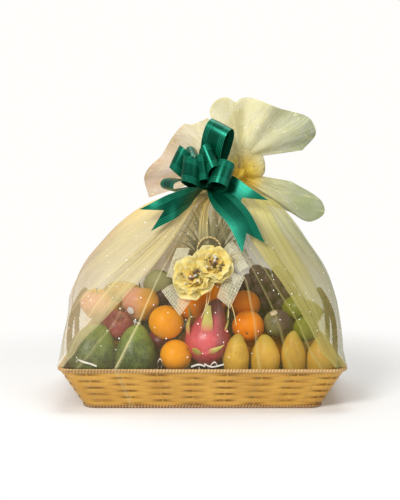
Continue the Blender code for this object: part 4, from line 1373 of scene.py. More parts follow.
def model_avocado(skin, stalk_finish):
    """A pear-shaped avocado, its neck upwards, with a stub of stalk."""
    fruit = ball("avocado", (0.0500, 0.0470, 0.0640), 44, 32)
    with editing(fruit):
        squeeze(fruit, lambda p: p.z > 0.045, (0.82, 0.82, 1.0), (0, 0, 0.045), 0.060)
        pull(fruit, lambda p: p.z > 0.0635, (0.004, 0, 0.0010), 0.030)
    return finish_fruit(fruit, button(0.0042, 0.0655, 0.003), 0.064, skin, stalk_finish)


def model_lime(skin, stalk_finish):
    """A lime with a nipple at its end."""
    fruit = ball("lime", (0.0270, 0.0270, 0.0330), 36, 26)
    with editing(fruit):
        pull(fruit, lambda p: p.z > 0.0329, (0, 0, 0.0045), 0.011)
        pull(fruit, lambda p: p.z < -0.0329, (0, 0, -0.0012), 0.008)
    return finish_fruit(fruit, None, 0.030, skin, stalk_finish)


def model_round(name, radius, skin, stalk_finish, cap_radius):
    """A round fruit with a small flat cap on top."""
    fruit = ball(name, (radius, radius, radius * 0.97), 36, 24)
    with editing(fruit):
        pull(fruit, lambda p: p.z > radius * 0.96, (0, 0, -0.0022), radius * 0.45)
    cap = star_cap(cap_radius, 0.8, 0.0022, radius * 0.90, 12, 3, 0.78)
    return finish_fruit(fruit, cap, radius, skin, stalk_finish)


def leaf(name, width, length, curl, cup, columns=4, rows=10, blunt=0.0):
    """A pointed leaf that rises from the origin along Z and curls back along Y."""
    piece = sheet(name, width, length, columns, rows)

    def rule(point):
        share = min(max(point.y / length + 0.5, 0.0), 1.0)
        side = 2 * point.x / width
        narrow = mix(1.0, blunt, share**1.8) * (0.55 + 0.45 * sin(pi * min(share * 0.9 + 0.2, 1.0)))
        lean = curl * share * share
        return Vector((
            point.x * narrow,
            length * 0.55 * lean + cup * side * side * narrow,
            length * share * cos(min(lean, 1.4)),
        ))

    reshape(piece, rule)
    finish_modifier(piece, "SOLIDIFY", thickness=width * 0.05, offset=0.0)
    store_value(piece, "tip", [min(max(v.co.z / length, 0.0), 1.0) for v in piece.data.vertices])
    keep_own_place(piece, length)
    return piece


def dragon_material():
    """The dragon fruit's skin: pink, with painted shade darkening its right side, darker at its top, with
    green tips and fine veins.
    """
    nodes = new_finish("dragon_skin", 0.40, coat=0.2, coat_roughness=0.3)
    place = nodes.place()
    pink = nodes.mottle(34.0, (0.42, 0.040, 0.060), (0.74, 0.105, 0.115), 2.4)
    # Painted shade: the pink turns dark maroon towards the fruit's own right side.
    pink = nodes.tint(pink, (0.24, 0.030, 0.038), nodes.part(nodes.own(), "X"), 0.15, 0.60, 0.0, 0.85)
    pink = nodes.tint(pink, (0.13, 0.035, 0.028), nodes.part(nodes.own(), "Z"), 0.85, 1.45, 0.0, 0.9)
    green = nodes.blend((0.36, 0.38, 0.07), (0.66, 0.52, 0.13), nodes.noise(place, 60.0, 2.0))
    veins = nodes.noise(nodes.stretch(place, (1, 1, 0.25)), 260.0, 3.0)
    return wire(nodes, nodes.tint(pink, green, nodes.value_of("tip"), 0.10, 0.55), veins, 0.35, 0.0008)


def make_dragon_fruit():
    """The dragon fruit: a plump body with fleshy bracts."""
    body = ball("dragon_body", (DRAGON_HALF_WIDTH, DRAGON_HALF_WIDTH * 0.96, DRAGON_HALF_HEIGHT), 48, 34)
    with editing(body):
        squeeze(body, lambda p: p.z > 0.043, (0.80, 0.80, 1.0), (0, 0, 0.043), 0.036)
        pull(body, lambda p: p.z > 0.0525, (0.019, 0, 0.041), 0.052)
        squeeze(body, lambda p: p.z < -0.043, (0.90, 0.90, 1.0), (0, 0, -0.043), 0.030)
    mark(body, "tip", 0.0)
    keep_own_place(body, DRAGON_HALF_HEIGHT)
    pieces = [body]
    for number, (turn, height, lean, sway, length, width, curl, blunt) in enumerate(BRACTS):
        bract = leaf(f"bract_{number}", width, length, curl, -0.004, 4, 9, blunt)
        around = radians(turn)
        sunk = 0.94 if height > 0 else 1.03
        reach = sunk * DRAGON_HALF_WIDTH * sqrt(1 - (height / DRAGON_HALF_HEIGHT) ** 2)
        root = (reach * cos(around), reach * 0.96 * sin(around), height)
        settle(bract, moved(root), turned_about("Z", turn - 90), turned_about("X", -lean),
               turned_about("Y", sway))
        pieces.append(bract)
    fruit = join(pieces, "dragon_fruit")
    settle(fruit, moved(DRAGON_PLACE))
    dress(fruit, dragon_material(), smooth=70)
    return fruit


def make_pineapple():
    """The body of the pineapple behind the flowers, with eyes in spirals."""
    body = ball("pineapple", (PINEAPPLE_HALF_WIDTH, PINEAPPLE_HALF_WIDTH, PINEAPPLE_HALF_HEIGHT), 104, 64)
    with editing(body):
        squeeze(body, lambda p: abs(p.z) > 0.070, (1.12, 1.12, 1.0), (0, 0, 0), 0.030)

    def raised(point):
        turn, share = atan2(point.y, point.x), point.z / PINEAPPLE_HALF_HEIGHT
        return min(abs(sin(4 * turn + 9.5 * share)), abs(sin(4 * turn - 9.5 * share)))

    def eyes(point):
        eye = raised(point)
        swell = 0.0042 * min(eye * 2.2, 1.0) + 0.0016 * exp(-40 * (1 - eye) ** 2)
        side = sqrt(max(1 - (point.z / PINEAPPLE_HALF_HEIGHT) ** 2, 0.0))
        return point + Vector((point.x, point.y, 0.0)).normalized() * (swell * min(side * 2, 1.0))

    heights = [raised(vertex.co) for vertex in body.data.vertices]
    reshape(body, eyes)
    store_value(body, "tip", heights)
    settle(body, moved((PINEAPPLE_X, PINEAPPLE_Y, PINEAPPLE_Z)))
    nodes = new_finish("pineapple_rind", 0.5, coat=0.1)
    golden = nodes.mottle(60.0, (0.30, 0.17, 0.03), (0.62, 0.36, 0.06), 2.0)
    colour = nodes.tint((0.13, 0.11, 0.03), golden, nodes.value_of("tip"), 0.05, 0.45)
    dress(body, wire(nodes, colour, nodes.noise(nodes.place(), 300.0, 4.0), 0.5, 0.001), smooth=80)
    return body


def make_crown():
    """The pineapple's crown of long narrow leaves, its outer ones leaning outward."""
    blades = []
    rng = random.Random(11)
    for number in range(CROWN_LEAVES):
        share = number / (CROWN_LEAVES - 1)
        length = mix(0.075, 0.144, min(share * 1.4, 1.0)) * rng.uniform(0.88, 1.08)
        blade = leaf(f"blade_{number}", mix(0.032, 0.022, share), length, mix(0.9, 0.20, share), -0.0030,
                     4, 9, 0.10)
        settle(blade, moved((PINEAPPLE_X, PINEAPPLE_Y, mix(CROWN_FOOT, CROWN_HEART, share))),
               turned_about("Z", number * 137.5), moved((0, mix(0.020, 0.002, share), 0)),
               turned_about("X", -mix(50, 3, share ** 0.8)))
        blades.append(blade)
    crown = join(blades, "pineapple_crown")
    nodes = new_finish("crown_leaves", 0.5)
    green = nodes.mottle(30.0, (0.15, 0.14, 0.065), (0.34, 0.32, 0.15), 2.2)
    colour = nodes.tint(green, (0.44, 0.40, 0.26), nodes.value_of("tip"), 0.60, 1.0)
    fibres = nodes.noise(nodes.stretch(nodes.place(), (300, 300, 30)), 1.0, 2.0)
    dress(crown, wire(nodes, colour, fibres, 0.15, 0.0006), smooth=60)
    return crown


def make_grapes(name, at, size, count, seed, dark, light):
    """A bunch of small round fruit heaped in an oval."""
    rng = random.Random(seed)
    spots = []
    tries = 0
    while len(spots) < count and tries < 4000:
        tries += 1
        spot = Vector((rng.uniform(-1, 1), rng.uniform(-1, 1), rng.uniform(-1, 1)))
        if 0.35 <= spot.length <= 1:
            spot *= Vector(size)
            if all((spot - other).length > 0.0215 for other in spots):
                spots.append(spot)
    model = ball("berry", (0.0150, 0.0150, 0.0165), 18, 13)
    berries = []
    for number, spot in enumerate(spots):
        turn = (rng.uniform(0, 360), rng.uniform(0, 360), 0)
        scale = [rng.uniform(0.88, 1.10)] * 3
        berries.append(place_fruit(model, f"{name}_{number}", Vector(at) + spot, turn, scale))
    bpy.data.objects.remove(model)
    bunch = join(berries, name)
    skin = skin_material(name + "_skin", dark, light, coat=0.10, pores=(700.0, 0.2, 0.0003), specular=0.25)
    dress(bunch, skin, smooth=80)
    return bunch


def make_handle(side, wicker):
    """A wicker handle at one end: canes twisted into an arch that leans inward."""
    middle = []
    for step in range(61):
        turn = pi * step / 60
        up = sin(turn) ** 0.8
        x = side * mix(HANDLE_FOOT_X, HANDLE_TOP_X, up**4)
        middle.append(Vector((x, -HANDLE_HALF_SPAN * cos(turn), HANDLE_FOOT + HANDLE_RISE * up)))
    canes = []
    for number in range(HANDLE_CANES):
        points = []
        for step in range(241):
            place = step / 240 * 60
            low = min(int(place), 59)
            turn = 2 * pi * (step / 240 * HANDLE_TWISTS + number / HANDLE_CANES)
            out = Vector((1, 0, 0))
            flat = (middle[low + 1] - middle[low]).cross(out).normalized()
            spot = middle[low].lerp(middle[low + 1], place - low)
            points.append(spot + 0.0030 * (cos(turn) * out + sin(turn) * flat))
        cane = tube("handle_cane", points, 0.0033, 7)
        mark(cane, "strand", number / (HANDLE_CANES - 1))
        canes.append(cane)
    handle = join(canes, "handle_left" if side < 0 else "handle_right")
    dress(handle, wicker, smooth=80)
    return handle


def paper_strip(name, points, width):
    """One curled strip of white paper along points, standing on its edge."""
    path, length = path_by_length(points)
    rows = []
    for step in range(25):
        middle = Vector(curve_value(path, min(length * step / 24, length - 1e-6)))
        rows.append([middle - Vector((0, 0, width / 2)), middle + Vector((0, 0.001, width / 2))])
    return cloth(name, rows)


def make_padding():
    """The bed under the fruit: a low mound of shredded paper with rounded corners."""
    bed = sheet("padding", 2 * BED_HALF_WIDTH, 2 * BED_HALF_DEPTH, 90, 60)

    def rule(point):
        edge = 1 - max(abs(point.x) / BED_HALF_WIDTH, abs(point.y) / BED_HALF_DEPTH) ** 6
        rough = noise.noise(point * 60) * 0.006 + noise.noise(point * 150) * 0.004
        beyond = Vector((max(abs(point.x) - BED_CORNER[0], 0.0), max(abs(point.y) - BED_CORNER[1], 0.0)))
        beyond *= 1 - 1 / max(beyond.length / BED_CORNER_RADIUS, 1.0)
        x = copysign(abs(point.x) - beyond.x, point.x)
        y = copysign(abs(point.y) - beyond.y, point.y)
        return Vector((x, y, 0.050 + 0.014 * edge + rough))

    reshape(bed, rule)
    finish_modifier(bed, "SOLIDIFY", thickness=0.022, offset=-1.0)
    nodes = new_finish("kraft_bed", 0.85)
    crease = nodes.noise(nodes.place(), 120.0, 4.0, 1.5)
    colour = nodes.tint((0.10, 0.055, 0.025), (0.34, 0.23, 0.12), crease, 0.3, 0.7)
    dress(bed, wire(nodes, colour, crease, 0.7, 0.003), smooth=40)
    return bed


def make_shreds():
    """Loose shreds near the padding's edge, and the white strips that show above the rim."""
    rng = random.Random(4)
    shreds = []
    strip = sheet("shred", *SHRED_SIZE, 1, 14)
    reshape(strip, lambda p: Vector((p.x, p.y, 0.0016 * sin(p.y * 420))))
    for number in range(SHRED_COUNT):
        shred = duplicate(strip, f"shred_{number}")
        bend = rng.uniform(20, 60)
        reshape(shred, lambda p: Vector((p.x + 0.0022 * sin(p.y * bend * 2), sin(p.y * bend) / bend,
                                         p.z + (1 - cos(p.y * bend)) / bend * rng.uniform(0.9, 1.0))))
        around = rng.uniform(0, 2 * pi)
        reach = rng.uniform(0.74, 0.88)
        x, y = super_ellipse(around, SHRED_RING[0] * reach, SHRED_RING[1] * reach, 8)
        settle(shred, moved((x, y, rng.uniform(0.058, 0.068))),
               turned(rng.uniform(-0.25, 0.25), rng.uniform(-0.25, 0.25), rng.uniform(0, 6.28)))
        shreds.append(shred)
    bpy.data.objects.remove(strip)
    shreds += [paper_strip(f"paper_{number}", *ends) for number, ends in enumerate(PAPER_STRIPS)]
    paper = join(shreds, "paper_shreds")
    dark, light = (0.62, 0.58, 0.50), (0.90, 0.87, 0.80)
    dress(paper, toned_material("white_paper", 0.8, dark, light, 90.0, 2.0, depth=0.001))
    return paper


def make_sticker():
    """A small bare round sticker on the front of a blush apple."""
    sticker = ball("bare_sticker", [STICKER_FRUIT_RADIUS + 0.0006] * 3, 96, 160)
    with editing(sticker):
        pick(sticker, lambda p: hypot(p.x, p.y) > STICKER_RADIUS or p.z < 0)
        bpy.ops.mesh.delete(type="VERT")
    settle(sticker, moved(STICKER_FRUIT), pointing(Vector(STICKER_FACING)))
    dress(sticker, toned_material("sticker_paper", 0.35, (0.70, 0.72, 0.66), (0.90, 0.90, 0.86), 500.0, 2.0,
                                  0.1, 0.0002, coat=0.3), smooth=50)
    return sticker


def fruit_models():
    """One model of each kind of fruit, by the name of its kind."""
    stalk = toned_material("stalk", 0.7, (0.045, 0.030, 0.012), (0.20, 0.17, 0.06), 1.0, 4.0, 0.5, 0.0008,
                           stretch=(400, 400, 120))
    dry_cap = rope_material("dry_cap", (0.74, 0.58, 0.38), (0.60, 0.45, 0.28))
    skins = {kind: skin_material(kind + "_skin", **look) for kind, look in SKINS.items()}
    return {
        "orange": model_orange(skins["orange"], stalk),
        "deep_orange": model_orange(skins["deep_orange"], stalk),
        "crimson_apple": model_apple("crimson_apple", skins["crimson"], stalk),
        "blush_apple": model_apple("blush_apple", skins["blush"], stalk),
        "mango": model_mango(skins["mango"], stalk),
        "avocado": model_avocado(skins["avocado"], stalk),
        "lime": model_lime(skins["lime"], stalk),
        "dusky_fruit": model_round("dusky_fruit", 0.032, skins["dusky"], dry_cap, 0.0095),
        "green_fruit": model_round("green_fruit", 0.034, skins["green"], stalk, 0.004),
    }


def place_fruit(model, name, at, turn, scale=(1, 1, 1)):
    """A copy of a fruit, turned by degrees about X, Y and Z, scaled and moved into place."""
    angles = [radians(angle) for angle in turn]
    return duplicate(model, name, moved(at), turned(*angles), Matrix.Diagonal((*scale, 1)))


def make_fruit():
    """Every fruit but the dragon fruit, the pineapple and the grapes, from one model of each kind."""
    models = fruit_models()
    made = [make_sticker()]
    for kind, name, *placing in FRUIT:
        made.append(place_fruit(models[kind], name, *placing))
    for number, (kind, at, turn) in enumerate(FILLING):
        made.append(place_fruit(models[kind], f"{kind}_{number + 10}", at, turn))
    for model in models.values():
        bpy.data.objects.remove(model)
    return made


def make_contents():
    """Padding, fruit, pineapple, grapes and the end handles."""
    wicker = rope_material("wicker", (0.22, 0.085, 0.022), (0.070, 0.026, 0.009))
    handles = [make_handle(side, wicker) for side in (-1, 1)]
    pieces = [make_padding(), make_shreds(), *make_fruit()]
    pieces += [make_dragon_fruit(), make_pineapple(), make_crown(), *handles]
    pieces += [make_grapes(name, *bunch) for name, bunch in BUNCHES.items()]
    for piece in pieces:
        stand_for(piece, "wrap")


def on_net(x, height, out=0.0):
    """A point on the front of the bag of net, a step outward of it, and the way outward there."""
    def surface(at_x, at_height):
        middle, half_width, half_depth, exponent = curve_value(NET_STATIONS, at_height)
        share = min(abs((at_x - middle) / half_width), 0.98)
        return Vector((at_x, -half_depth * (1 - share**exponent) ** (1 / exponent), at_height))

    point = surface(x, height)
    aside = surface(x + 0.004, height) - point
    upward = surface(x, height + 0.004) - point
    outward = aside.cross(upward).normalized()
    return point + outward * out, outward


def lay_on_net(piece, x, height, out):
    """Moves a piece that faces +Z at the origin, its top towards +Y, onto the front of the net."""
    point, outward = on_net(x, height, out)
    aside = (Vector((1, 0, 0)) - outward * outward.x).normalized()
    axes = Matrix((aside, outward.cross(aside), outward))
    settle(piece, moved(point), axes.transposed().to_4x4())
    return piece


def make_petal(name, width, length, ruffle, seed):
    """One cloth petal: narrow at its root, broad and ruffled at its edge, cupped along its middle."""
    petal = sheet(name, width, length, 12, 10)

    def rule(point):
        share = point.y / length + 0.5
        side = 2 * point.x / width
        spread = mix(0.30, 1.0, sin(pi / 2 * min(share * 1.35, 1.0)))
        rounding = 1 - 0.24 * abs(side) ** 3 * share
        wave = ruffle * share**2 * sin(side * 5.2 + seed) + 0.5 * ruffle * share * noise.noise(
            (side * 2.6 + seed, share * 3.1, seed)
        )
        return Vector((
            point.x * spread,
            length * share * rounding + 0.10 * ruffle * sin(side * 8 + seed),
            0.35 * length * share * (1 - 0.55 * share) + 0.10 * width * side * side * share + wave,
        ))

    reshape(petal, rule)
    return petal


def make_petals(name, radius, rng):
    """The petals of a cloth flower, in rounds that stand up more towards the middle."""
    petals = []
    for ring, (count, size, tilt, lift) in enumerate(PETAL_ROUNDS):
        for number in range(count):
            length = radius * size * rng.uniform(0.90, 1.12)
            petal = make_petal("petal", length * 1.05, length, radius * 0.14, rng.uniform(0, 6))
            around = 360 * (number + rng.uniform(-0.2, 0.2)) / count + ring * 25
            settle(petal, moved((0, 0, lift)), turned_about("Z", around), turned_about("X", tilt))
            petals.append(petal)
    flower = join(petals, name)
    keep_own_place(flower, radius)
    finish_modifier(flower, "SOLIDIFY", thickness=0.00035, offset=0.0)
    return flower


def make_heart(name, radius, rng):
    """The heart of a cloth flower: stamens and pearls, every third of them white."""
    sprigs = []
    for number in range(STAMENS):
        around = number * 2.4
        reach = radius * 0.26 * sqrt(number / STAMENS)
        stamen = rod("stamen", 0.0015, radius * rng.uniform(0.30, 0.48), 6, 0.0012)
        pearl = ball("pearl", (0.0030, 0.0026, 0.0046), 12, 8)
        settle(pearl, moved((0, 0, radius * 0.42)))
        sprig = join([stamen, pearl], "sprig")
        mark(sprig, "strand", 1.0 if number % 3 == 0 else 0.0)
        settle(sprig, moved((reach * cos(around), reach * sin(around), 0.010)),
               turned(rng.uniform(-0.9, 0.9), rng.uniform(-0.9, 0.9), 0))
        sprigs.append(sprig)
    return join(sprigs, name)


def petal_material():
    """Yellow cloth, golden in the flower's heart, pale and thin at its edge."""
    nodes = new_finish("yellow_cloth", 0.8, sheen=0.6, specular=0.2)
    away = nodes.length(nodes.own())
    cloth_tone = nodes.noise(nodes.place(), 90.0, 3.0)
    petal = nodes.tint((0.86, 0.46, 0.04), (0.92, 0.72, 0.17), away, 0.25, 0.75)
    petal = nodes.tint(petal, (0.93, 0.86, 0.42), nodes.calc("ADD", away, cloth_tone), 1.12, 1.7)
    weave = nodes.noise(nodes.stretch(nodes.uv(), (60, 60, 1)), 3.0, 2.0)
    return wire(nodes, petal, weave, 0.3, 0.0004, alpha=nodes.span(away, 0.35, 1.05, 0.97, 0.66))


def make_flowers():
    """The two cloth flowers and their hearts."""
    yellow = petal_material()
    stamens = two_kinds_material("stamens", 0.35, 0.4, ((0.07, 0.035, 0.022), (0.24, 0.14, 0.07)),
                                 ((0.62, 0.58, 0.46), (0.90, 0.88, 0.80)), 200.0, 2.0, 0.2, 0.0004)
    flowers, hearts = [], []
    for name, (x, height, radius, seed) in FLOWERS.items():
        rng = random.Random(seed)
        flowers.append(make_petals(name, radius, rng))
        hearts.append(make_heart(name + "_heart", radius, rng))
        dress(flowers[-1], yellow, smooth=80)
        dress(hearts[-1], stamens, smooth=60)
        for piece in (flowers[-1], hearts[-1]):
            lay_on_net(piece, x, height, 0.004)
    return flowers + hearts


def make_mesh_leaf(cells_along, corners):
    """An open-mesh cloth leaf between four corners on the front of the net, arched off it in its middle."""
    rows = []
    for along in range(cells_along + 1):
        row = []
        for across in range(MESH_LEAF_CELLS_ACROSS + 1):
            u, v = across / MESH_LEAF_CELLS_ACROSS, along / cells_along
            x, z = (mix(mix(a, b, u), mix(d, c, u), v) for a, b, c, d in zip(*corners))
            if 0 < across < MESH_LEAF_CELLS_ACROSS and 0 < along < cells_along:
                x += 0.0018 * noise.noise((across * 1.7, along * 1.3, 4.0))
                z += 0.0018 * noise.noise((across * 1.7, along * 1.3, 9.0))
            lift = 0.003 + 0.004 * sin(pi * u) + 0.0022 * noise.noise((x * 60, z * 60, 1.0))
            row.append(on_net(x, z, lift)[0])
        rows.append(row)
    threads = cloth("leaf_threads", rows)
    veil = duplicate(threads, "leaf_veil")
    finish_modifier(threads, "WIREFRAME", thickness=0.0014, use_even_offset=False)
    mark(threads, "strand", 0.0)
    mark(veil, "strand", 1.0)
    return join([threads, veil], "mesh_leaf")


def make_mesh_leaves():
    """The open-mesh leaves round the flowers: threads and the sheer veil between them."""
    leaves = join([make_mesh_leaf(*leaf_shape) for leaf_shape in MESH_LEAVES], "mesh_leaves")
    nodes = new_finish("mesh_cloth", 0.7)
    tone = nodes.noise(nodes.place(), 140.0, 3.0)
    threads = nodes.tint((0.70, 0.63, 0.40), (0.90, 0.85, 0.64), tone, 0.3, 0.7)
    veil = nodes.value_of("strand")
    dress(leaves, wire(nodes, nodes.blend(threads, (0.74, 0.72, 0.50), veil), tone, 0.3, 0.0004,
                       alpha=nodes.span(veil, 0.0, 1.0, 0.92, 0.42)))
    return leaves


def ring_place(share, number):
    """A place on one of the ring's two twisted strands: X, height and distance off the net."""
    around = pi * mix(-0.12, 1.12, share)
    turn = 2 * pi * (share * 13 + number / 2)
    height = RING_Z + RING_RADIUS * sin(around) + 0.0011 * sin(turn)
    return RING_X - RING_RADIUS * cos(around), height, 0.0065 + 0.0011 * cos(turn)


def curl_place(share, middle, reach, turns):
    """A place along a curl."""
    turn = 2 * pi * turns * share
    spread = reach * mix(0.25, 1.0, share)
    return middle[0] + spread * cos(turn), middle[1] + spread * sin(turn), 0.009


def straw_place(share, begin, end):
    """A place along a straw, which bows a little to the right."""
    x = mix(begin[0], end[0], share) + 0.0035 * sin(pi * share)
    return x, mix(begin[1], end[1], share), 0.0045


def lay_cord(rule, settings, steps, radius, sides, tone):
    """A cord on the front of the net through the places that a rule gives at shares of its length."""
    points = [on_net(*rule(step / steps, *settings))[0] for step in range(steps + 1)]
    cord = tube("cord", points, radius, sides)
    mark(cord, "strand", tone)
    return cord


def make_cords():
    """The trim's cords: a ring of two twisted strands, thin curls and straws."""
    cords = [lay_cord(ring_place, (number,), 120, 0.0014, 6, float(number)) for number in range(2)]
    cords += [lay_cord(curl_place, curl, 40, radius, 5, 0.35) for *curl, radius in CURLS]
    cords += [lay_cord(straw_place, straw, 8, 0.0010, 6, 0.2) for straw in STRAWS]
    trim = join(cords, "cord_and_straws")
    dress(trim, rope_material("straw_twist", (0.74, 0.62, 0.30), (0.46, 0.33, 0.12)), smooth=80)
    return trim


def make_sprig_leaves():
    """The small dark green leaves in the flowers' hearts."""
    blades = []
    for x, height, around, length in SPRIG_LEAVES:
        blade = leaf("sprig_leaf", 0.0075, length, 0.4, -0.001, 4, 7, 0.05)
        settle(blade, turned_about("Z", around), turned_about("X", 12))
        blades.append(lay_on_net(blade, x, height, 0.024))
    greens = join(blades, "sprig_leaves")
    dress(greens, toned_material("sprig_green", 0.5, (0.02, 0.07, 0.01), (0.10, 0.20, 0.03), 180.0))
    return greens


def make_ornament():
    """The trim on the front of the net: cloth flowers, open-mesh leaves, cords, straws and small leaves."""
    for piece in [*make_flowers(), make_mesh_leaves(), make_cords(), make_sprig_leaves()]:
        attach(piece, "root")


def make_dots(net):
    """Small pearly dots stuck on the net, fewer higher up; at its top and upper right many of them are
    painted dark, painted shade.
    """
    rng = random.Random(21)
    faces = net.data.polygons
    spots = []
    while len(spots) < DOT_COUNT:
        face = faces[rng.randrange(len(faces))]
        middle = face.center.copy()
        crowded = face.area < 0.0000035
        if middle.z < 0.11 or crowded or rng.random() > mix(1.0, 0.35, smooth_step(0.20, 0.45, middle.z)):
            continue
        if any((middle - spot[0]).length < DOT_GAP for spot in spots):
            continue
        size = rng.uniform(0.75, 1.25)
        outward = face.normal if face.normal.dot(middle - Vector((0, 0, 0.2))) > 0 else -face.normal
        # Dots up here are often painted dark: painted shade.
        shaded = middle.z > 0.47 or (middle.x > 0.20 and middle.z > 0.26)
        spots.append((middle, outward.copy(), size, 1.0 if shaded and rng.random() < 0.7 else 0.0))
    model = ball("dot", (0.0014, 0.0014, 0.0006), 8, 5)
    dots = []
    for middle, outward, size, tone in spots:
        dot = duplicate(model, "dot", moved(middle + outward * 0.0004), pointing(outward),
                        Matrix.Diagonal((size, size, size, 1)))
        mark(dot, "strand", tone)
        dots.append(dot)
    bpy.data.objects.remove(model)
    dots = join(dots, "net_dots")
    # The second, dark kind of dot is painted shade.
    dress(dots, two_kinds_material("pearly_dots_and_painted_shade", 0.25, 0.5, ((0.88, 0.87, 0.81), (0.97, 0.96, 0.93)),
                                   ((0.16, 0.15, 0.08), (0.30, 0.27, 0.15)), 300.0, 1.0, 0.1, 0.0002))
    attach(dots, "root")
    return dots


def ribbon_material():
    """Glossy green ribbon with fine lines along both edges."""
    nodes = new_finish("satin_ribbon", 0.32, specular=0.60)
    nodes.shader["IOR"].default_value = 1.65
    nodes.shader["Specular Tint"].default_value = (0.10, 1.0, 0.66, 1.0)
    uv = nodes.uv()
    across = nodes.part(uv, "X")
    from_edge = nodes.calc("MINIMUM", across, nodes.calc("SUBTRACT", 1.0, across))
    line = nodes.calc("LESS_THAN", nodes.calc("FRACT", nodes.times(from_edge, 14.0)), 0.36)
    lines = nodes.times(line, nodes.calc("LESS_THAN", from_edge, 0.24))
    threads = nodes.noise(nodes.stretch(uv, (240.0, 3.0, 1.0)), 1.0, 2.0)
    clouds = nodes.noise(nodes.place(), 14.0, 2.0)
    green = nodes.tint((0.0002, 0.022, 0.010), (0.0004, 0.044, 0.020), clouds, 0.3, 0.7)
    colour = nodes.blend(green, (0.010, 0.20, 0.11), nodes.times(lines, 0.8))
    height = nodes.times(lines, -0.8, nodes.times(threads, 0.35))
    return wire(nodes, colour, height, 0.35, 0.0006, roughness=nodes.span(threads, 0.2, 0.8, 0.22, 0.36))


def make_loop(number, way, across, length, roll):
    """One loop: the ribbon runs out from the knot, rolls over and comes back to it."""
    steps, columns = 56, 13
    way = Vector(way).normalized()
    across = Vector(across).normalized()
    side = way.cross(across).normalized()
    rows = []
    for step in range(steps + 1):
        turn = pi * mix(0.02, 0.98, step / steps)
        out = length * sin(turn) ** 1.1
        swing = roll * 0.72 * sin(2 * turn) * sin(turn) ** 0.6
        slope_out = 1.1 * length * sin(turn) ** 0.1 * cos(turn)
        slope_swing = roll * 0.72 * (2 * cos(2 * turn) * sin(turn) ** 0.6
                                     + 0.6 * sin(2 * turn) * sin(turn) ** -0.4 * cos(turn))
        face = (way * slope_out + side * slope_swing).cross(across).normalized()
        half_width = RIBBON_WIDTH / 2 * mix(0.30, 1.0, smooth_step(0.0, 0.55, out / length))
        middle = KNOT + way * out + side * swing
        row = []
        for column in range(columns):
            share = 2 * column / (columns - 1) - 1
            row.append(middle + across * (share * half_width) + face * (0.0008 * (1 - share * share)))
        rows.append(row)
    return cloth(f"loop_{number}", rows)


def tail_point(path, length, place, end_across, reach):
    """A point of a tail at a place along it, a reach across from its middle and cupped a little."""
    middle = Vector(curve_value(path, min(place, length - 1e-6)))
    ahead = Vector(curve_value(path, min(place + 0.004, length - 1e-6)))
    behind = Vector(curve_value(path, max(place - 0.004, 0.0)))
    along = (ahead - behind).normalized()
    across = (end_across - along * end_across.dot(along)).normalized()
    cup = 0.0012 * (1 - (2 * reach / RIBBON_WIDTH) ** 2)
    return middle + across * reach + along.cross(across) * cup


def make_tail(number, points, end_across, middle_cut, edge_cut):
    """One tail: the ribbon runs from the knot along a curve to a swallow-tail cut."""
    steps, columns = 44, 17
    path, length = path_by_length([tuple(KNOT), *points])
    end_across = Vector(end_across).normalized()
    rows = []
    for step in range(steps + 1):
        along = step / steps
        half_width = RIBBON_WIDTH / 2 * mix(0.25, 1.0, smooth_step(0.0, 0.45, along))
        row = []
        for column in range(columns):
            share = 1 - 2 * column / (columns - 1)
            cut = mix(middle_cut, 0.0 if share > 0 else edge_cut, abs(share))
            row.append(tail_point(path, length, along * (length - cut), end_across, share * half_width))
        rows.append(row)
    return cloth(f"tail_{number}", rows)


def make_band():
    """The band of ribbon round the net's neck."""
    _, middle, half_width, half_depth, exponent = next(s for s in NET_STATIONS if s[0] == TIE_HEIGHT)
    rows = []
    for lift in (-0.0045, -0.0015, 0.0015, 0.0045):
        row = []
        for step in range(80):
            x, y = super_ellipse(2 * pi * step / 80, half_width + 0.0024, half_depth + 0.0024, exponent)
            row.append((middle + x, y, TIE_HEIGHT + lift))
        rows.append(row)
    return cloth("band", rows, around=True)


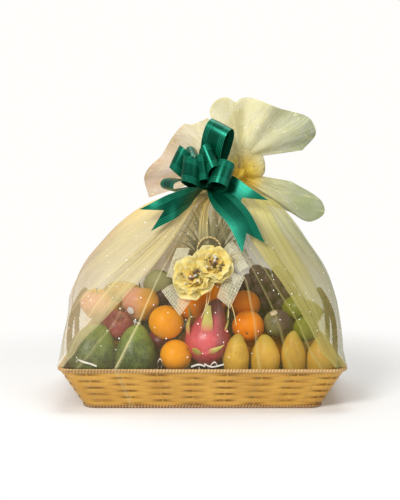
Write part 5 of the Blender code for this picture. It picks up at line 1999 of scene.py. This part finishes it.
def make_bow():
    """The bow: loops, tails, the band round the net's neck and the knot."""
    pieces = [make_loop(number, *loop) for number, loop in enumerate(LOOPS)]
    pieces += [make_tail(number, *tail) for number, tail in enumerate(TAILS)]
    bow = join([*pieces, make_band()], "ribbon_bow")
    finish_modifier(bow, "SOLIDIFY", thickness=0.0005, offset=0.0)
    ribbon = ribbon_material()
    dress(bow, ribbon, smooth=60)
    knot = ball("ribbon_knot", KNOT_RADII, 24, 16)
    settle(knot, moved(KNOT))
    with editing(knot):
        squeeze(knot, lambda p: abs(p.x - KNOT.x) < 0.002, (1.0, 0.86, 0.86), KNOT, 0.008)
    dress(knot, ribbon, smooth=50)
    for piece in (bow, knot):
        stand_for(piece, "bow")


def make_ground():
    """The floor, which fades out towards its edge."""
    ground = primitive("ground", bpy.ops.mesh.primitive_plane_add, size=2.2 * GROUND_END)
    nodes = new_finish("pale_ground", 0.9)
    place = nodes.place()
    tone = nodes.blend((0.86, 0.86, 0.85), (0.90, 0.90, 0.89), nodes.noise(place, 3.0, 2.0))
    fade = nodes.span(nodes.length(place), GROUND_CLEAR, GROUND_END, 1.0, 0.0)
    dress(ground, wire(nodes, tone, alpha=fade))


def light_room():
    """A soft light from all round, dimmer than the white that the camera sees behind the hamper."""
    world = bpy.data.worlds.new("soft_room")
    world.use_nodes = True
    nodes = Finish(world.node_tree)
    seen = nodes.add("ShaderNodeLightPath", output="Is Camera Ray")
    strength = nodes.add("ShaderNodeMapRange", {"Value": seen, "To Min": 0.42, "To Max": 1.0})
    back = world.node_tree.nodes["Background"].inputs
    back["Color"].default_value = (1.0, 0.99, 0.97, 1.0)
    world.node_tree.links.new(strength, back["Strength"])
    bpy.context.scene.world = world


def aim(thing, at, target):
    """Sets up a lamp or camera at a place, turned towards another."""
    thing.location = at
    thing.rotation_euler = (Vector(target) - Vector(at)).to_track_quat("-Z", "Y").to_euler()
    bpy.context.scene.collection.objects.link(thing)


def set_stage():
    """Floor, soft lights and the camera at the photo's viewing angle."""
    make_ground()
    light_room()
    for name, (at, size, power) in LIGHTS.items():
        light = bpy.data.lights.new(name, "AREA")
        light.size = size
        light.energy = power
        aim(bpy.data.objects.new(name, light), at, LIGHTS_AIM)
    view = bpy.data.cameras.new("camera")
    view.sensor_fit = "VERTICAL"
    view.sensor_height = SENSOR_HEIGHT
    view.lens = CAMERA_LENS
    camera = bpy.data.objects.new("camera", view)
    aim(camera, CAMERA_PLACE, CAMERA_AIM)
    bpy.context.scene.camera = camera
    bpy.context.scene.view_settings.view_transform = "Standard"


set_stage()
make_basket()
make_contents()
make_net()
make_ornament()
make_bow()
